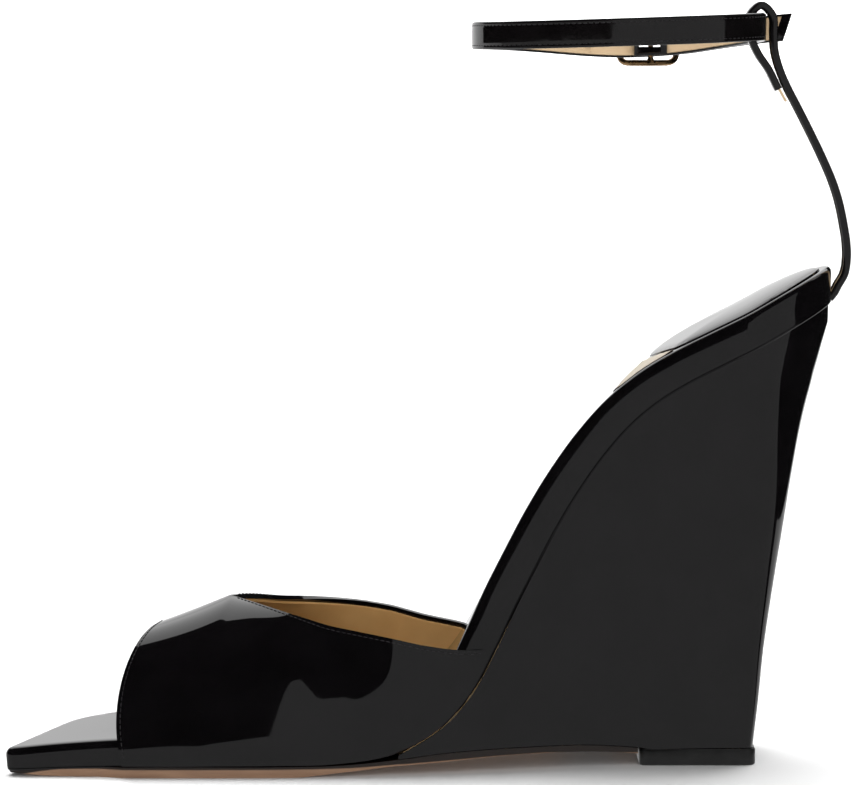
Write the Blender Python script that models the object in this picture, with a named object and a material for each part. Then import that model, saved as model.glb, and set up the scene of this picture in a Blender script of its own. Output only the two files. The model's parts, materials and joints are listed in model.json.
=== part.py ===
"""Open-toe wedge sandal for a right foot, with an ankle strap held at the heel by a looped riser.

Lengths are millimetres and are turned into metres when a mesh is made. X runs from the toe (-) to
the heel (+), +Y is the outer side of the foot, +Z is up and the floor is z = 0. The insole unit is
described by u (distance along the footbed from the toe), v (across, the same as y) and w (height
above the footbed).
"""

import math

import bmesh
import bpy
import numpy as np
from mathutils import Matrix, Vector

MM = 0.001
GAP = 0.3
SEAM_GAP = 0.5
CENTRING = Vector((0.52, 1.06, 0))

# Footbed: side profile of the inner edge of its top surface, from toe to heel (x, z)
TOE_X = -107.5
FOOTBED_PROFILE = (
    (-110.0, 6.8), (TOE_X, 7.0), (-94, 8.3), (-79, 9.3), (-60, 9.5), (-40, 9.6), (-25, 10.2),
    (-13, 12.4), (-4.5, 17.0), (1.8, 24.0), (7.6, 35.0), (12.6, 46.0), (17.6, 56.0), (22.8, 66.0),
    (29, 76.3), (35.9, 85.9),
    (43.8, 94.6), (52.3, 101.3), (61.1, 106.4), (69.8, 110.7), (78.5, 115.0), (87.2, 119.8), (95.5, 124.1),
    (102.6, 127.2),
)
INSOLE_THICKNESS = ((0, 5.0), (14, 5.8), (28, 6.4), (70, 6.6), (96, 7.4), (112, 8.0), (275, 8.0))
OUTER_EDGE_DROP = (
    (0, 0), (88, 0), (105, 1.2), (120, 2.6), (150, 4.6), (175, 5.6), (197, 4.6), (212, 2.6), (225, 1.2),
    (240, 0.9), (275, 0.5),
)
HEEL_RAKE = 0.46
HEEL_RAKE_START = 205

# Footbed outline: inner (medial) and outer (lateral) edges against u, with a slanted square toe
INNER_EDGE = (
    (5, 35.8), (28, 36.2), (50, 36.4), (70, 36.0), (88, 34.2), (105, 31.4), (125, 28.8), (150, 26.4),
    (180, 25.0), (210, 25.0), (237, 25.8),
)
OUTER_EDGE = (
    (24, 10.2), (38, 16.8), (52, 23.8), (67, 30.0), (82, 33.6), (97, 33.8), (110, 31.8), (125, 29.0),
    (150, 26.4), (180, 25.0), (210, 25.0), (237, 25.8),
)
TOE_CORNERS = (((-1.4, -35.7), 5.5), ((14.8, 6.6), 9.0))
HEEL_CENTRE_U = 237.0
HEEL_REACH = 25.5

COVER_THICKNESS = 1.0
CUSHION_LAYER = (-1.3, -2.5)
BOARD_LAYER = (-2.8, -4.6)
LOWER_LAYER_TOP = -4.9
SHANK_LAYER = (-5.7, -7.1)
SHANK_ENDS = (97.5, 206.5)
SHANK_HALF_WIDTH = 5.5
GROOVE_DEPTH = -9.0
EDGE_ROUND = 1.2

# Heel pad and sock insert: outlines in (u, v) and heights (w)
PAD_FRONT = ((209.5, 21.4), (218.0, -21.4))
PAD_HALF_WIDTH = 22.6
PAD_LAYERS = {"top": 2.0, "edge": 1.4, "lining": 1.3, "foam": 1.1}
SOCK_CORNERS = ((198.0, -21.0), (216.6, -21.0), (208.2, 21.0), (201.0, 21.0))
SOCK_TOP = 1.1

# Fasteners through the insole board; heads are sunk below the top of the board
HEAD_TOP = BOARD_LAYER[0] - 0.3
HEAD_BOTTOM = HEAD_TOP - 0.7
RIVET_STATIONS = {"shank_rivet_front": 103.0, "shank_rivet_rear": 200.0}
HEEL_SCREW_U = 228.0
NAIL_STATIONS = ((216.0, -14.0), (216.0, 14.0), (240.0, -11.0), (240.0, 11.0))

# Outsole: top and underside heights against x
OUTSOLE_TOP = (
    (-107.5, 1.7), (-93, 2.2), (-79, 2.6), (-37, 2.7), (-25, 2.8), (-8.5, 4.0), (1.5, 5.1), (12, 5.7),
    (25, 6.0), (40, 5.9), (52.5, 4.8),
)
OUTSOLE_UNDERSIDE = (
    (-107.5, 1.0), (-95, 0.2), (-86, 0), (-60, 0), (-34, 0), (-24, 1.0), (-8.5, 2.5), (1.5, 3.1), (15, 4.0),
    (28, 4.4), (42, 4.2), (52.5, 3.4),
)
OUTSOLE_END_X = 51.7

# Wedge: back edge (z, x), half width of its sides (z, y) and how its back is rounded (z, reach, depth)
WEDGE_BACK = (
    (4.6, 81.0), (16, 82.3), (29.5, 83.6), (43, 85.5), (58.3, 88.0), (74.5, 90.8), (89.7, 94.2),
    (97.5, 96.5), (106, 98.8), (112, 100.4), (120, 101.9),
)
WEDGE_SIDE = ((4.6, 19.0), (40, 20.6), (80, 23.0), (105, 25.2), (120, 25.8))
WEDGE_ROUND = (
    (4.6, 2.6, 2.8), (30, 3.2, 3.6), (51, 4.8, 5.4), (70, 7.0, 8.6), (87, 13.2, 16.0), (104, 22.0, 23.8),
    (120, 24.0, 24.8),
)
WEDGE_LEVELS = (4.6, 6, 8.5, 12, 17, 24, 33, 44, 55, 65, 73, 80, 86, 92, 98, 103, 108, 112.5)
WEDGE_COLUMNS = 10
WEDGE_STANDS_OUT = 2.4
WEDGE_FLARE_Z = (62.0, 18.0)
WEDGE_TAPER = 0.95
SOLE_INSET = 0.8

LIFT_X = (52.1, 81.7)
LIFT_HALF_WIDTH = 19.2
LIFT_HEIGHT = 4.2
LIFT_PIN_X = (60.0, 75.0)
LIFT_PIN_REACH = (1.2, 18.0)
LIFT_PIN_RADIUS = 1.5

# Vamp: centre ridge and the two top lines, each (share of the length, x, y, z)
VAMP_START_U = {"inner": 29.5, "outer": 36.5}
VAMP_END_U = 124.0
VAMP_THROAT = 0.2
VAMP_RIDGE = ((0, -70.5, -10, 35.3), (0.1, -61, -8, 38.6), (0.2, -52, -6, 42.0))
VAMP_TOPLINE = {
    "inner": (
        (0.2, -52, -6, 42.0), (0.28, -46.2, -13, 41.2), (0.36, -39.4, -20, 40.0), (0.44, -32.8, -26, 38.8),
        (0.52, -26.2, -30.5, 37.4), (0.6, -19.8, -33, 36.4), (0.7, -11.5, -34.6, 34.9),
        (0.82, -2.0, -34.2, 32.8),
        (0.92, 6.2, -33.2, 31.6), (1, 12.6, -31.8, 31.4),
    ),
    "outer": (
        (0.2, -52, -6, 42.0), (0.28, -46.2, 2, 41.2), (0.36, -39.4, 11, 39.6), (0.44, -32.8, 19, 38.4),
        (0.52, -26.2, 25.5, 37.2), (0.6, -19.8, 30.0, 36.0), (0.7, -11.5, 33.2, 34.2),
        (0.82, -2.0, 33.6, 31.6),
        (0.92, 6.2, 33.4, 30.4), (1, 12.2, 32.1, 30.2),
    ),
}
# How far the wall leans out above its lower edge, and rolls in below its upper edge: (share, x, out, z)
VAMP_LOWER_PULL = (
    (0, -4.5, 0.6, 17), (0.2, 0, 1.4, 19), (0.5, 0, 1.6, 14), (0.75, 0, 1.2, 8), (1, 0, 0.2, 0.7),
)
VAMP_UPPER_PULL = {
    "inner": ((0, -5, 18, 0), (0.2, 0, 19, -1), (0.35, 0, 12, -4), (0.5, 0, 4.5, -9), (0.75, 0, 1.6, -7),
              (1, 0, 0.2, -0.7)),
    "outer": ((0, 1, 14, 0), (0.2, 0, 18, -1), (0.35, 0, 12, -4), (0.5, 0, 4.5, -9), (0.75, 0, 1.6, -7),
              (1, 0, 0.2, -0.7)),
}
VAMP_STANDS_OUT = 2.8
VAMP_LENGTH_STEPS = 28
VAMP_GIRTH_STEPS = 8

# Straps
STRAP_WIDTH = 7.0
LEATHER = 0.9
LINING = 0.7
STRAP_CENTRE = (47.0, 0.0)
STRAP_RADII = (36.4, 28.4)
STRAP_SQUARENESS = 2.35
STRAP_HEIGHT = 184.2
STRAP_RISE = 0.032
STRAP_SAG = 4.0
BILLET_OFFSET = 3.1
TAIL_START = 12.0
TAIL_LENGTH = 25.0

RISER_WIDTH = 6.5
RISER_PATH = (
    (103.1, 121.0), (104.6, 123.6), (105.3, 127.6), (105.2, 131.5), (104.4, 136.6), (103.0, 142.9),
    (101.4, 147.7), (99.0, 153.2), (95.2, 161.0), (92.0, 167.2), (89.7, 171.6), (87.7, 176.4), (86.5, 181.0),
    (86.3, 185.2), (86.0, 189.6), (83.2, 192.2), (80.3, 189.7), (80.2, 185.4), (82.2, 180.2), (85.2, 175.7),
    (87.2, 171.6), (89.3, 167.7),
)
ANCHOR_LENGTH = 14.0
ANCHOR_THICKNESS = 1.6

# Buckle, in its own frame: along the strap, outward, up
BUCKLE_ANGLE = math.radians(78.2)
BAR_RADIUS = 0.65
WIRE_RADIUS = 0.8
FRAME_FRONT = -8.4
FRAME_BACK = 6.2
FRAME_HALF_HEIGHT = 5.1
FRAME_CORNER = 2.6
FRAME_BOW = (0.5, 0.3826, 0.0779)
CHAPE_LENGTH = 4.6
CHAPE_FOLD = (
    (0.0, 1.55), (-0.7, 1.4), (-1.3, 1.0), (-2.0, 0.35), (-2.8, -0.35), (-3.5, -0.65), (-3.82, -0.78),
    (-3.95, -1.1), (-3.82, -1.42), (-3.5, -1.55),
)
CHAPE_INNER = 1.25
CHAPE_THICKNESS = 0.6
STRAP_END_AT = 2.6
PRONG_RADIUS = 0.55
EYE_SPACE_ALONG = (-3.0, 2.7)
EYE_SPACE_OUTWARD = (-2.4, 2.4)
SLOT_REACH = (-7.0, 3.6)
SLOT_HEIGHT = 1.9
PUNCH_HOLES = (-16.0, -22.5, 12.0, 18.5)
PUNCH_RADIUS = 0.9


# ---------------------------------------------------------------- curves

def curve(table, at):
    """Smooth curve through rows of (knot, value, ...), read at one or many places."""
    rows = np.asarray(table, dtype=float)
    knots = rows[:, 0]
    values = rows[:, 1:]
    slopes = np.gradient(values, knots, axis=0)
    at = np.clip(np.asarray(at, dtype=float), knots[0], knots[-1])
    index = np.clip(np.searchsorted(knots, at) - 1, 0, len(knots) - 2)
    span = (knots[index + 1] - knots[index])[..., None]
    t = (at - knots[index])[..., None] / span
    result = (
        (1 + 2 * t) * (1 - t) ** 2 * values[index]
        + t * (1 - t) ** 2 * span * slopes[index]
        + t ** 2 * (3 - 2 * t) * values[index + 1]
        + t ** 2 * (t - 1) * span * slopes[index + 1]
    )
    return result[..., 0] if values.shape[1] == 1 else result


def with_lengths(points):
    """Rows of (distance along the polyline, coordinates)."""
    points = np.asarray(points, dtype=float)
    steps = np.linalg.norm(np.diff(points, axis=0), axis=1)
    return np.column_stack((np.concatenate(([0.0], np.cumsum(steps))), points))


FOOTBED = with_lengths(FOOTBED_PROFILE)
FOOTBED[:, 0] -= FOOTBED[1, 0]
FOOTBED_LENGTH = FOOTBED[-1, 0]


def bend(u, v, w):
    """Place footbed coordinates in space."""
    u, v, w = np.broadcast_arrays(*(np.asarray(value, dtype=float) for value in (u, v, w)))
    rake = HEEL_RAKE * np.clip((u - HEEL_RAKE_START) / (FOOTBED_LENGTH - HEEL_RAKE_START), 0, 1)
    along = u + np.minimum(w, 0) * rake
    point = curve(FOOTBED, along)
    ahead = curve(FOOTBED, np.minimum(along + 0.5, FOOTBED_LENGTH))
    behind = curve(FOOTBED, np.maximum(along - 0.5, 0))
    tangent = ahead - behind
    tangent /= np.linalg.norm(tangent, axis=-1, keepdims=True)
    over = np.maximum(along - FOOTBED_LENGTH, 0)
    height = w - curve(OUTER_EDGE_DROP, along) * np.clip(0.5 + v / 52, 0, 1)
    x = point[..., 0] - tangent[..., 1] * height + tangent[..., 0] * over
    z = point[..., 1] + tangent[..., 0] * height + tangent[..., 1] * over
    return np.stack((x, v, z), axis=-1)


def insole_bottom(u):
    return -curve(INSOLE_THICKNESS, u)


def inner_edge(u):
    return -curve(INNER_EDGE, u)


def outer_edge(u):
    return curve(OUTER_EDGE, u)


def arc(centre, radii, start, end, steps):
    """Points of an elliptical arc, angles in degrees."""
    angles = np.radians(np.linspace(start, end, steps + 1))
    return [(centre[0] + radii[0] * math.cos(a), centre[1] + radii[1] * math.sin(a)) for a in angles]


def fillet(before, corner, after, radius, steps=6):
    """Round one corner of an outline with a quadratic curve of about this radius."""
    corner = np.array(corner)
    inward = [np.array(end) - corner for end in (before, after)]
    start, end = (corner + radius * side / np.linalg.norm(side) for side in inward)
    ts = np.linspace(0, 1, steps + 1)
    return [tuple((1 - t) ** 2 * start + 2 * t * (1 - t) * corner + t * t * end) for t in ts]


def footbed_outline(inset=0.0):
    """Outline of the footbed in (u, v), anticlockwise, moved inward by inset."""
    side_stations = np.arange(30, 237, 7.0)
    inner = [(u, float(inner_edge(u))) for u in (12.0, 20.0, *side_stations)]
    outer = [(u, float(outer_edge(u))) for u in side_stations]
    (inner_corner, inner_radius), (outer_corner, outer_radius) = TOE_CORNERS
    toe = fillet(outer_corner, inner_corner, inner[0], inner_radius)
    toe_side = fillet(outer[0], outer_corner, inner_corner, outer_radius)
    heel = arc((HEEL_CENTRE_U, 0), (HEEL_REACH, 25.8), -90, 90, 20)
    outline = toe + inner + heel + outer[::-1] + toe_side
    return shrink(outline, inset) if inset else outline


def shrink(outline, distance):
    """Move an anticlockwise outline inward."""
    points = np.asarray(outline, dtype=float)
    edges = np.roll(points, -1, axis=0) - points
    edges /= np.linalg.norm(edges, axis=1, keepdims=True)
    tangents = edges + np.roll(edges, 1, axis=0)
    tangents /= np.linalg.norm(tangents, axis=1, keepdims=True)
    return [tuple(p) for p in points + distance * np.column_stack((-tangents[:, 1], tangents[:, 0]))]


# ---------------------------------------------------------------- meshes and materials

def material(name, colour, roughness, metallic=0.0):
    made = bpy.data.materials.get(name)
    if made:
        return made
    made = bpy.data.materials.new(name)
    made.use_nodes = True
    shader = made.node_tree.nodes["Principled BSDF"]
    shader.inputs["Base Color"].default_value = (*colour, 1)
    shader.inputs["Roughness"].default_value = roughness
    shader.inputs["Metallic"].default_value = metallic
    return made


def patent():
    return material("patent_leather", (0.004, 0.004, 0.005), 0.08)


def tan_leather():
    return material("tan_lining_leather", (0.58, 0.38, 0.2), 0.6)


def sole_leather():
    return material("sole_leather", (0.5, 0.3, 0.16), 0.5)


def fibreboard():
    return material("fibreboard", (0.45, 0.36, 0.25), 0.85)


def foam():
    return material("latex_foam", (0.75, 0.7, 0.58), 0.9)


def steel():
    return material("steel", (0.55, 0.55, 0.56), 0.35, 1.0)


def old_gold():
    return material("old_gold_metal", (0.5, 0.34, 0.15), 0.3, 1.0)


def moulded_core():
    return material("moulded_heel_plastic", (0.6, 0.56, 0.48), 0.5)


def lift_rubber():
    return material("top_lift_rubber", (0.012, 0.012, 0.012), 0.55)


def make_object(name, vertices, faces, look, origin=(0, 0, 0), sharp_angle=35):
    """One object with its origin at a point given in millimetres."""
    origin = Vector(origin)
    mesh = bpy.data.meshes.new(name)
    points = [(Vector(v) - origin) * MM for v in vertices]
    mesh.from_pydata(points, [], [tuple(int(i) for i in f) for f in faces])
    bm = bmesh.new()
    bm.from_mesh(mesh)
    bmesh.ops.remove_doubles(bm, verts=bm.verts, dist=1e-7)
    bmesh.ops.recalc_face_normals(bm, faces=bm.faces)
    for face in bm.faces:
        face.smooth = True
    limit = math.radians(sharp_angle)
    for edge in bm.edges:
        edge.smooth = edge.is_manifold and edge.calc_face_angle(0) < limit
    bm.to_mesh(mesh)
    bm.free()
    made = bpy.data.objects.new(name, mesh)
    made.location = (origin + CENTRING) * MM
    bpy.context.collection.objects.link(made)
    mesh.materials.append(look)
    return made


def shell(top, bottom, faces):
    """Closed solid between two matching sheets; faces are wound to face out of the top sheet."""
    count = len(top)
    open_edges = set()
    for face in faces:
        for a, b in zip(face, face[1:] + face[:1]):
            if (b, a) in open_edges:
                open_edges.remove((b, a))
            else:
                open_edges.add((a, b))
    solid = [tuple(f) for f in faces]
    solid += [tuple(i + count for i in reversed(f)) for f in faces]
    solid += [(b, a, a + count, b + count) for a, b in open_edges]
    return np.vstack((top, bottom)), solid


def ring_faces(loops):
    """Faces between closed loops of indices, each loop outside the one before."""
    faces = []
    for upper, lower in zip(loops, loops[1:]):
        for i in range(len(upper)):
            j = (i + 1) % len(upper)
            faces.append([upper[j], upper[i], lower[i], lower[j]])
    return faces


def following_loops(border, first, count):
    """The border, then loops of as many points that start at index first."""
    size = len(border)
    return [border] + [list(range(first + k * size, first + (k + 1) * size)) for k in range(count)]


def loft(rows, closed=False):
    """Solid through matching closed sections, capped at its ends unless its path is closed."""
    rows = np.asarray(rows, dtype=float)
    count, size = rows.shape[:2]
    faces = []
    for i in range(count if closed else count - 1):
        j = (i + 1) % count
        for k in range(size):
            m = (k + 1) % size
            faces.append((i * size + k, i * size + m, j * size + m, j * size + k))
    if not closed:
        faces += [tuple(range(size))[::-1], tuple(range((count - 1) * size, count * size))]
    return rows.reshape(-1, 3), faces


def cut_sheet(outline, step=7.0):
    """Flat sheet inside an outline, cut across every step, as points, faces and its border loop."""
    bm = bmesh.new()
    bm.faces.new([bm.verts.new((u, v, 0)) for u, v in outline])
    start, end = min(p[0] for p in outline), max(p[0] for p in outline)
    cuts = [((0, 0.5, 0), (0, 1, 0))]
    cuts += [((u, 0, 0), (1, 0, 0)) for u in np.arange(math.ceil(start / step + 0.2) * step, end - 0.5, step)]
    for spot, direction in cuts:
        everything = bm.verts[:] + bm.edges[:] + bm.faces[:]
        bmesh.ops.bisect_plane(bm, geom=everything, dist=1e-3, plane_co=spot, plane_no=direction)
    bm.normal_update()
    bm.verts.index_update()
    points = np.array([vertex.co[:2] for vertex in bm.verts])
    faces = [[vertex.index for vertex in face.verts] for face in bm.faces]
    following = {}
    for edge in bm.edges:
        if edge.is_boundary:
            loop = edge.link_loops[0]
            following[loop.vert.index] = loop.link_loop_next.vert.index
    bm.free()
    border = [next(iter(following))]
    while following[border[-1]] != border[0]:
        border.append(following[border[-1]])
    return points, faces, border


def layer(name, outline, top, bottom, look, step=7.0, place=bend):
    """Flat plate bent to the footbed between two heights, each a number or a function of u."""
    points, faces, _ = cut_sheet(outline, step)
    heights = [value(points[:, 0]) if callable(value) else value for value in (top, bottom)]
    sheets = [place(points[:, 0], points[:, 1], height) for height in heights]
    return make_object(name, *shell(*sheets, faces), look)


def tray(name, outline, top, skirt, wall, look, step=7.0):
    """Plate with a rounded edge and a skirt all round; skirt is its lower height, as a function of u."""
    points, faces, border = cut_sheet(shrink(outline, EDGE_ROUND), step)
    border_points = points[border]
    sheets = []
    for inset, drop in ((0.0, 0.0), (wall, wall)):
        sheet = [bend(*(points.T if not inset else shrunk_points(points, border, inset).T), top - drop)]
        for out, down in ((0.35, 0.35), (0.0, 1.0)):
            ring = np.array(shrink(border_points, EDGE_ROUND * (out - 1) + inset))
            sheet.append(bend(ring[:, 0], ring[:, 1], top - EDGE_ROUND * down - drop * (1 - down)))
        ring = np.array(shrink(border_points, -EDGE_ROUND + inset))
        sheet.append(bend(ring[:, 0], ring[:, 1], skirt(ring[:, 0])))
        sheets.append(np.vstack(sheet))
    faces = faces + ring_faces(following_loops(border, len(points), 3))
    return make_object(name, *shell(*sheets, faces), look)


def shrunk_points(points, border, inset):
    moved = points.copy()
    moved[border] = np.array(shrink(points[border], inset))
    return moved


def cylinder(start, end, radius, sides=16):
    """Closed cylinder between two points."""
    start, end = Vector(start), Vector(end)
    turn = (end - start).to_track_quat("Z", "Y").to_matrix()
    angles = np.linspace(0, math.tau, sides, False)
    ring = [turn @ Vector((math.cos(a), math.sin(a), 0)) * radius for a in angles]
    return loft([[centre + r for r in ring] for centre in (start, end)])


def merge(*solids):
    vertices, faces = [], []
    for solid_vertices, solid_faces in solids:
        shift = len(vertices)
        vertices += [tuple(v) for v in solid_vertices]
        faces += [tuple(i + shift for i in face) for face in solid_faces]
    return vertices, faces


def cut(target, name, vertices, faces, operation="DIFFERENCE"):
    """Boolean with a hidden helper object."""
    cutter = bpy.data.objects.get(name) or make_object(name, vertices, faces, target.data.materials[0])
    cutter.hide_render = True
    cutter.display_type = "WIRE"
    modifier = target.modifiers.new(name, "BOOLEAN")
    modifier.operation = operation
    modifier.solver = "EXACT"
    modifier.object = cutter


def section_solid(centres, acrosses, normals, width, low, high):
    """Flat strip: a rectangle of this width, from low to high along the normals, swept along centres."""
    corners = ((-0.5, low), (0.5, low), (0.5, high), (-0.5, high))
    return loft([[c + width * side * a + height * n for side, height in corners]
                 for c, a, n in zip(centres, acrosses, normals)])


def tube_solid(points, radius, closed=False, sides=10):
    """Round wire along a path of points."""
    points = [Vector(p) for p in points]
    count = len(points)
    rows = []
    up = Vector((0.01, 0.02, 1))
    for i, point in enumerate(points):
        before = points[i - 1] if closed or i else point
        after = points[(i + 1) % count] if closed or i < count - 1 else point
        tangent = (after - before).normalized()
        side = tangent.cross(up).normalized()
        over = side.cross(tangent)
        rows.append([point + radius * (math.cos(a) * side + math.sin(a) * over)
                     for a in np.linspace(0, math.tau, sides, False)])
        up = over
    return loft(rows, closed)


# ---------------------------------------------------------------- insole unit

def make_insole_wrap():
    tray("insole_wrap", footbed_outline(), 0.0, insole_bottom, COVER_THICKNESS, patent())


def make_cushion():
    layer("insole_cushion", footbed_outline(COVER_THICKNESS + GAP), *CUSHION_LAYER, foam())


def make_board():
    board = layer("insole_board", footbed_outline(COVER_THICKNESS + GAP), *BOARD_LAYER, fibreboard())
    cut(board, "fastener_cutter", *merge(*fastener_holes()))
    return board


def clipped_outline(start, end, inset):
    """The part of the footbed outline between two stations."""
    outline = footbed_outline(inset)
    kept = [(min(max(u, start), end), v) for u, v in outline]
    tidy = [p for i, p in enumerate(kept) if p[0] not in (start, end) or kept[i - 1][0] != p[0]
            or kept[(i + 1) % len(kept)][0] != p[0]]
    return tidy


def make_forefoot_filler():
    outline = clipped_outline(16, 94, COVER_THICKNESS + 2 * GAP)
    cork = material("cork", (0.4, 0.25, 0.13), 0.9)
    layer("forefoot_filler", outline, LOWER_LAYER_TOP, insole_bottom, cork)


def make_shank_board():
    outline = clipped_outline(95, 252, COVER_THICKNESS + 2 * GAP)
    board = layer("shank_board", outline, LOWER_LAYER_TOP, insole_bottom, fibreboard())
    cut(board, "fastener_cutter", *merge(*fastener_holes()))
    start, end = SHANK_ENDS[0] - 0.5, SHANK_ENDS[1] + 0.5
    half = SHANK_HALF_WIDTH + 0.5
    points, faces, _ = cut_sheet([(start, -half), (end, -half), (end, half), (start, half)])
    sheets = [bend(*points.T, height) for height in (SHANK_LAYER[0] + GAP, GROOVE_DEPTH)]
    cut(board, "shank_groove_cutter", *shell(*sheets, faces))


def make_shank():
    start, end = SHANK_ENDS
    half = SHANK_HALF_WIDTH
    front_end = arc((start + half, 0), (half, half), 90, 270, 8)
    rear_end = arc((end - half, 0), (half, half), -90, 90, 8)
    outline = front_end + rear_end
    shank = layer("shank", outline, *SHANK_LAYER, steel(), step=6.0)
    cut(shank, "fastener_cutter", *merge(*fastener_holes()))


def board_axis(u, v):
    """A point on top of the board, and the direction square to it there."""
    top = bend(u, v, HEAD_TOP)
    forward = bend(u + 1, v, HEAD_TOP) - bend(u - 1, v, HEAD_TOP)
    sideways = bend(u, v + 1, HEAD_TOP) - bend(u, v - 1, HEAD_TOP)
    return Vector(top), Vector(np.cross(forward, sideways)).normalized()


def fasteners():
    """Each fastener as (name, u, v, head radius, shaft radius, shaft end height)."""
    items = [(name, u, 0.0, 2.6, 1.4, SHANK_LAYER[1]) for name, u in RIVET_STATIONS.items()]
    items.append(("heel_screw", HEEL_SCREW_U, 0.0, 4.0, 2.1, -34.0))
    items += [(f"heel_nail_{i + 1}", u, v, 2.2, 0.9, -20.0) for i, (u, v) in enumerate(NAIL_STATIONS)]
    return items


def fastener_holes():
    """Clearance for every fastener: a head recess and a shaft hole."""
    holes = []
    for _, u, v, head, shaft, end in fasteners():
        profile = ((head + GAP, 2 * GAP), (head + GAP, HEAD_BOTTOM - HEAD_TOP - GAP),
                   (shaft + GAP, HEAD_BOTTOM - HEAD_TOP - GAP), (shaft + GAP, end - HEAD_TOP - GAP))
        holes.append(turned(u, v, profile))
    return holes


def turned(u, v, profile, sides=16):
    """Solid of revolution about the footbed normal, profile as (radius, height above the board)."""
    top, up = board_axis(u, v)
    turn = up.to_track_quat("Z", "Y").to_matrix()
    angles = np.linspace(0, math.tau, sides, False)
    return loft([[top + turn @ Vector((radius * math.cos(a), radius * math.sin(a), height)) for a in angles]
                 for radius, height in profile])


def make_fasteners():
    for name, u, v, head, shaft, end in fasteners():
        profile = ((head, 0), (head, HEAD_BOTTOM - HEAD_TOP), (shaft, HEAD_BOTTOM - HEAD_TOP),
                   (shaft, end - HEAD_TOP))
        make_object(name, *turned(u, v, profile), steel())


def heel_pad_outline(inset):
    heel_front = HEEL_CENTRE_U - 1
    heel = arc((heel_front, 0), (HEEL_REACH - 2.4, PAD_HALF_WIDTH), -90, 90, 16)
    outer, inner = PAD_FRONT
    outer_corner = fillet((heel_front, PAD_HALF_WIDTH), outer, inner, 6)
    inner_corner = fillet(outer, inner, (heel_front, -PAD_HALF_WIDTH), 6)
    return shrink(heel + outer_corner + inner_corner, inset)


def make_heel_pad():
    layer("heel_pad_foam", heel_pad_outline(1.2), PAD_LAYERS["foam"], GAP, foam())
    round_off = 0.8
    wall = 0.7
    points, faces, border = cut_sheet(heel_pad_outline(round_off))
    outer_ring = np.array(shrink(points[border], -round_off))
    inner_ring = np.array(shrink(outer_ring, wall))
    inner = shrunk_points(points, border, 0.1)
    top = np.vstack((bend(*points.T, PAD_LAYERS["top"]), bend(*outer_ring.T, PAD_LAYERS["edge"]),
                     bend(*outer_ring.T, GAP)))
    under = np.vstack((bend(*inner.T, PAD_LAYERS["edge"]), bend(*inner_ring.T, PAD_LAYERS["lining"]),
                       bend(*inner_ring.T, GAP)))
    faces = faces + ring_faces(following_loops(border, len(points), 2))
    make_object("heel_pad_skin", *shell(top, under, faces), patent())


def make_sock_panel():
    layer("sock_panel", SOCK_CORNERS, SOCK_TOP, GAP, tan_leather())


# ---------------------------------------------------------------- sole and wedge

def straight(x, y, z):
    """Place outsole coordinates as they are."""
    x, y, z = np.broadcast_arrays(x, y, z)
    return np.stack((x, y, z), axis=-1)


def seam_table(v):
    """Where the wedge meets the insole unit on one side: rows of (z, x, u)."""
    stations = np.arange(96, FOOTBED_LENGTH - 2, 1.0)
    points = bend(stations, np.full_like(stations, v), insole_bottom(stations) - SEAM_GAP)
    rising = np.maximum.accumulate(points[:, 2])
    return rising, points[:, 0], stations


SEAMS = {side: seam_table(side * 25.0) for side in (-1, 1)}


def wedge_front(z, side):
    """x, and footbed station u, of the wedge's sloping face at height z."""
    rising, x, stations = SEAMS[side]
    return float(np.interp(z, rising, x)), float(np.interp(z, rising, stations))


def taper(share):
    """From 0 to 1 along the wedge: sloping like the footbed's edge at first, level at the back."""
    return WEDGE_TAPER * share * (1 - share) ** 2 + (3 - 2 * share) * share ** 2


def wedge_half_width(x, z, side, front_x, front_u):
    """Distance from the centre plane to the outside of the wedge."""
    edge = float(curve(INNER_EDGE if side < 0 else OUTER_EDGE, front_u))
    high, low = WEDGE_FLARE_Z
    flare = float(np.clip((high - z) / (high - low), 0, 1))
    front = edge + WEDGE_STANDS_OUT * (3 - 2 * flare) * flare ** 2
    reach, depth = curve(WEDGE_ROUND, z)
    back = float(curve(WEDGE_BACK, z))
    round_start = back - reach
    share = float(np.clip((x - front_x) / max(round_start - front_x, 1.0), 0, 1))
    side_width = front + (float(curve(WEDGE_SIDE, z)) - front) * taper(share)
    over = float(np.clip((x - round_start) / reach, 0, 1))
    depth = min(depth, side_width - 3.0)
    return side_width - depth * (1 - math.sqrt(max(1 - over * over, 0)))


def sole_edge(x, side):
    """Half width of the outsole on one side, against x."""
    level = WEDGE_LEVELS[0]
    front_x, front_u = wedge_front(level, side)
    if x > front_x:
        return wedge_half_width(x, level, side, front_x, front_u) - SOLE_INSET
    edge = float(curve(INNER_EDGE if side < 0 else OUTER_EDGE, x - TOE_X))
    return edge - 0.4 + (WEDGE_STANDS_OUT - SOLE_INSET + 0.4) * min(max((x + 84) / 6, 0), 1)


def make_outsole():
    stations = np.arange(-75, OUTSOLE_END_X, 6.0)
    inner = [(x, -sole_edge(x, -1)) for x in (-95, -85, *stations, OUTSOLE_END_X)]
    outer = [(x, sole_edge(x, 1)) for x in (*stations, OUTSOLE_END_X)]
    (inner_corner, inner_radius), (outer_corner, outer_radius) = TOE_CORNERS
    inner_corner = (TOE_X + inner_corner[0] + 0.9, inner_corner[1] + 0.7)
    outer_corner = (TOE_X + outer_corner[0] + 0.9, outer_corner[1] - 0.6)
    toe = fillet(outer_corner, inner_corner, inner[0], inner_radius)
    toe_side = fillet(outer[0], outer_corner, inner_corner, outer_radius)
    outline = toe + inner + outer[::-1] + toe_side

    def top(x):
        return curve(OUTSOLE_TOP, x)

    def underside(x):
        return np.maximum(curve(OUTSOLE_UNDERSIDE, x), 0) * np.where((x > -86) & (x < -34), 0, 1)

    layer("outsole", outline, top, underside, sole_leather(), step=4.0, place=straight)


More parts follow.
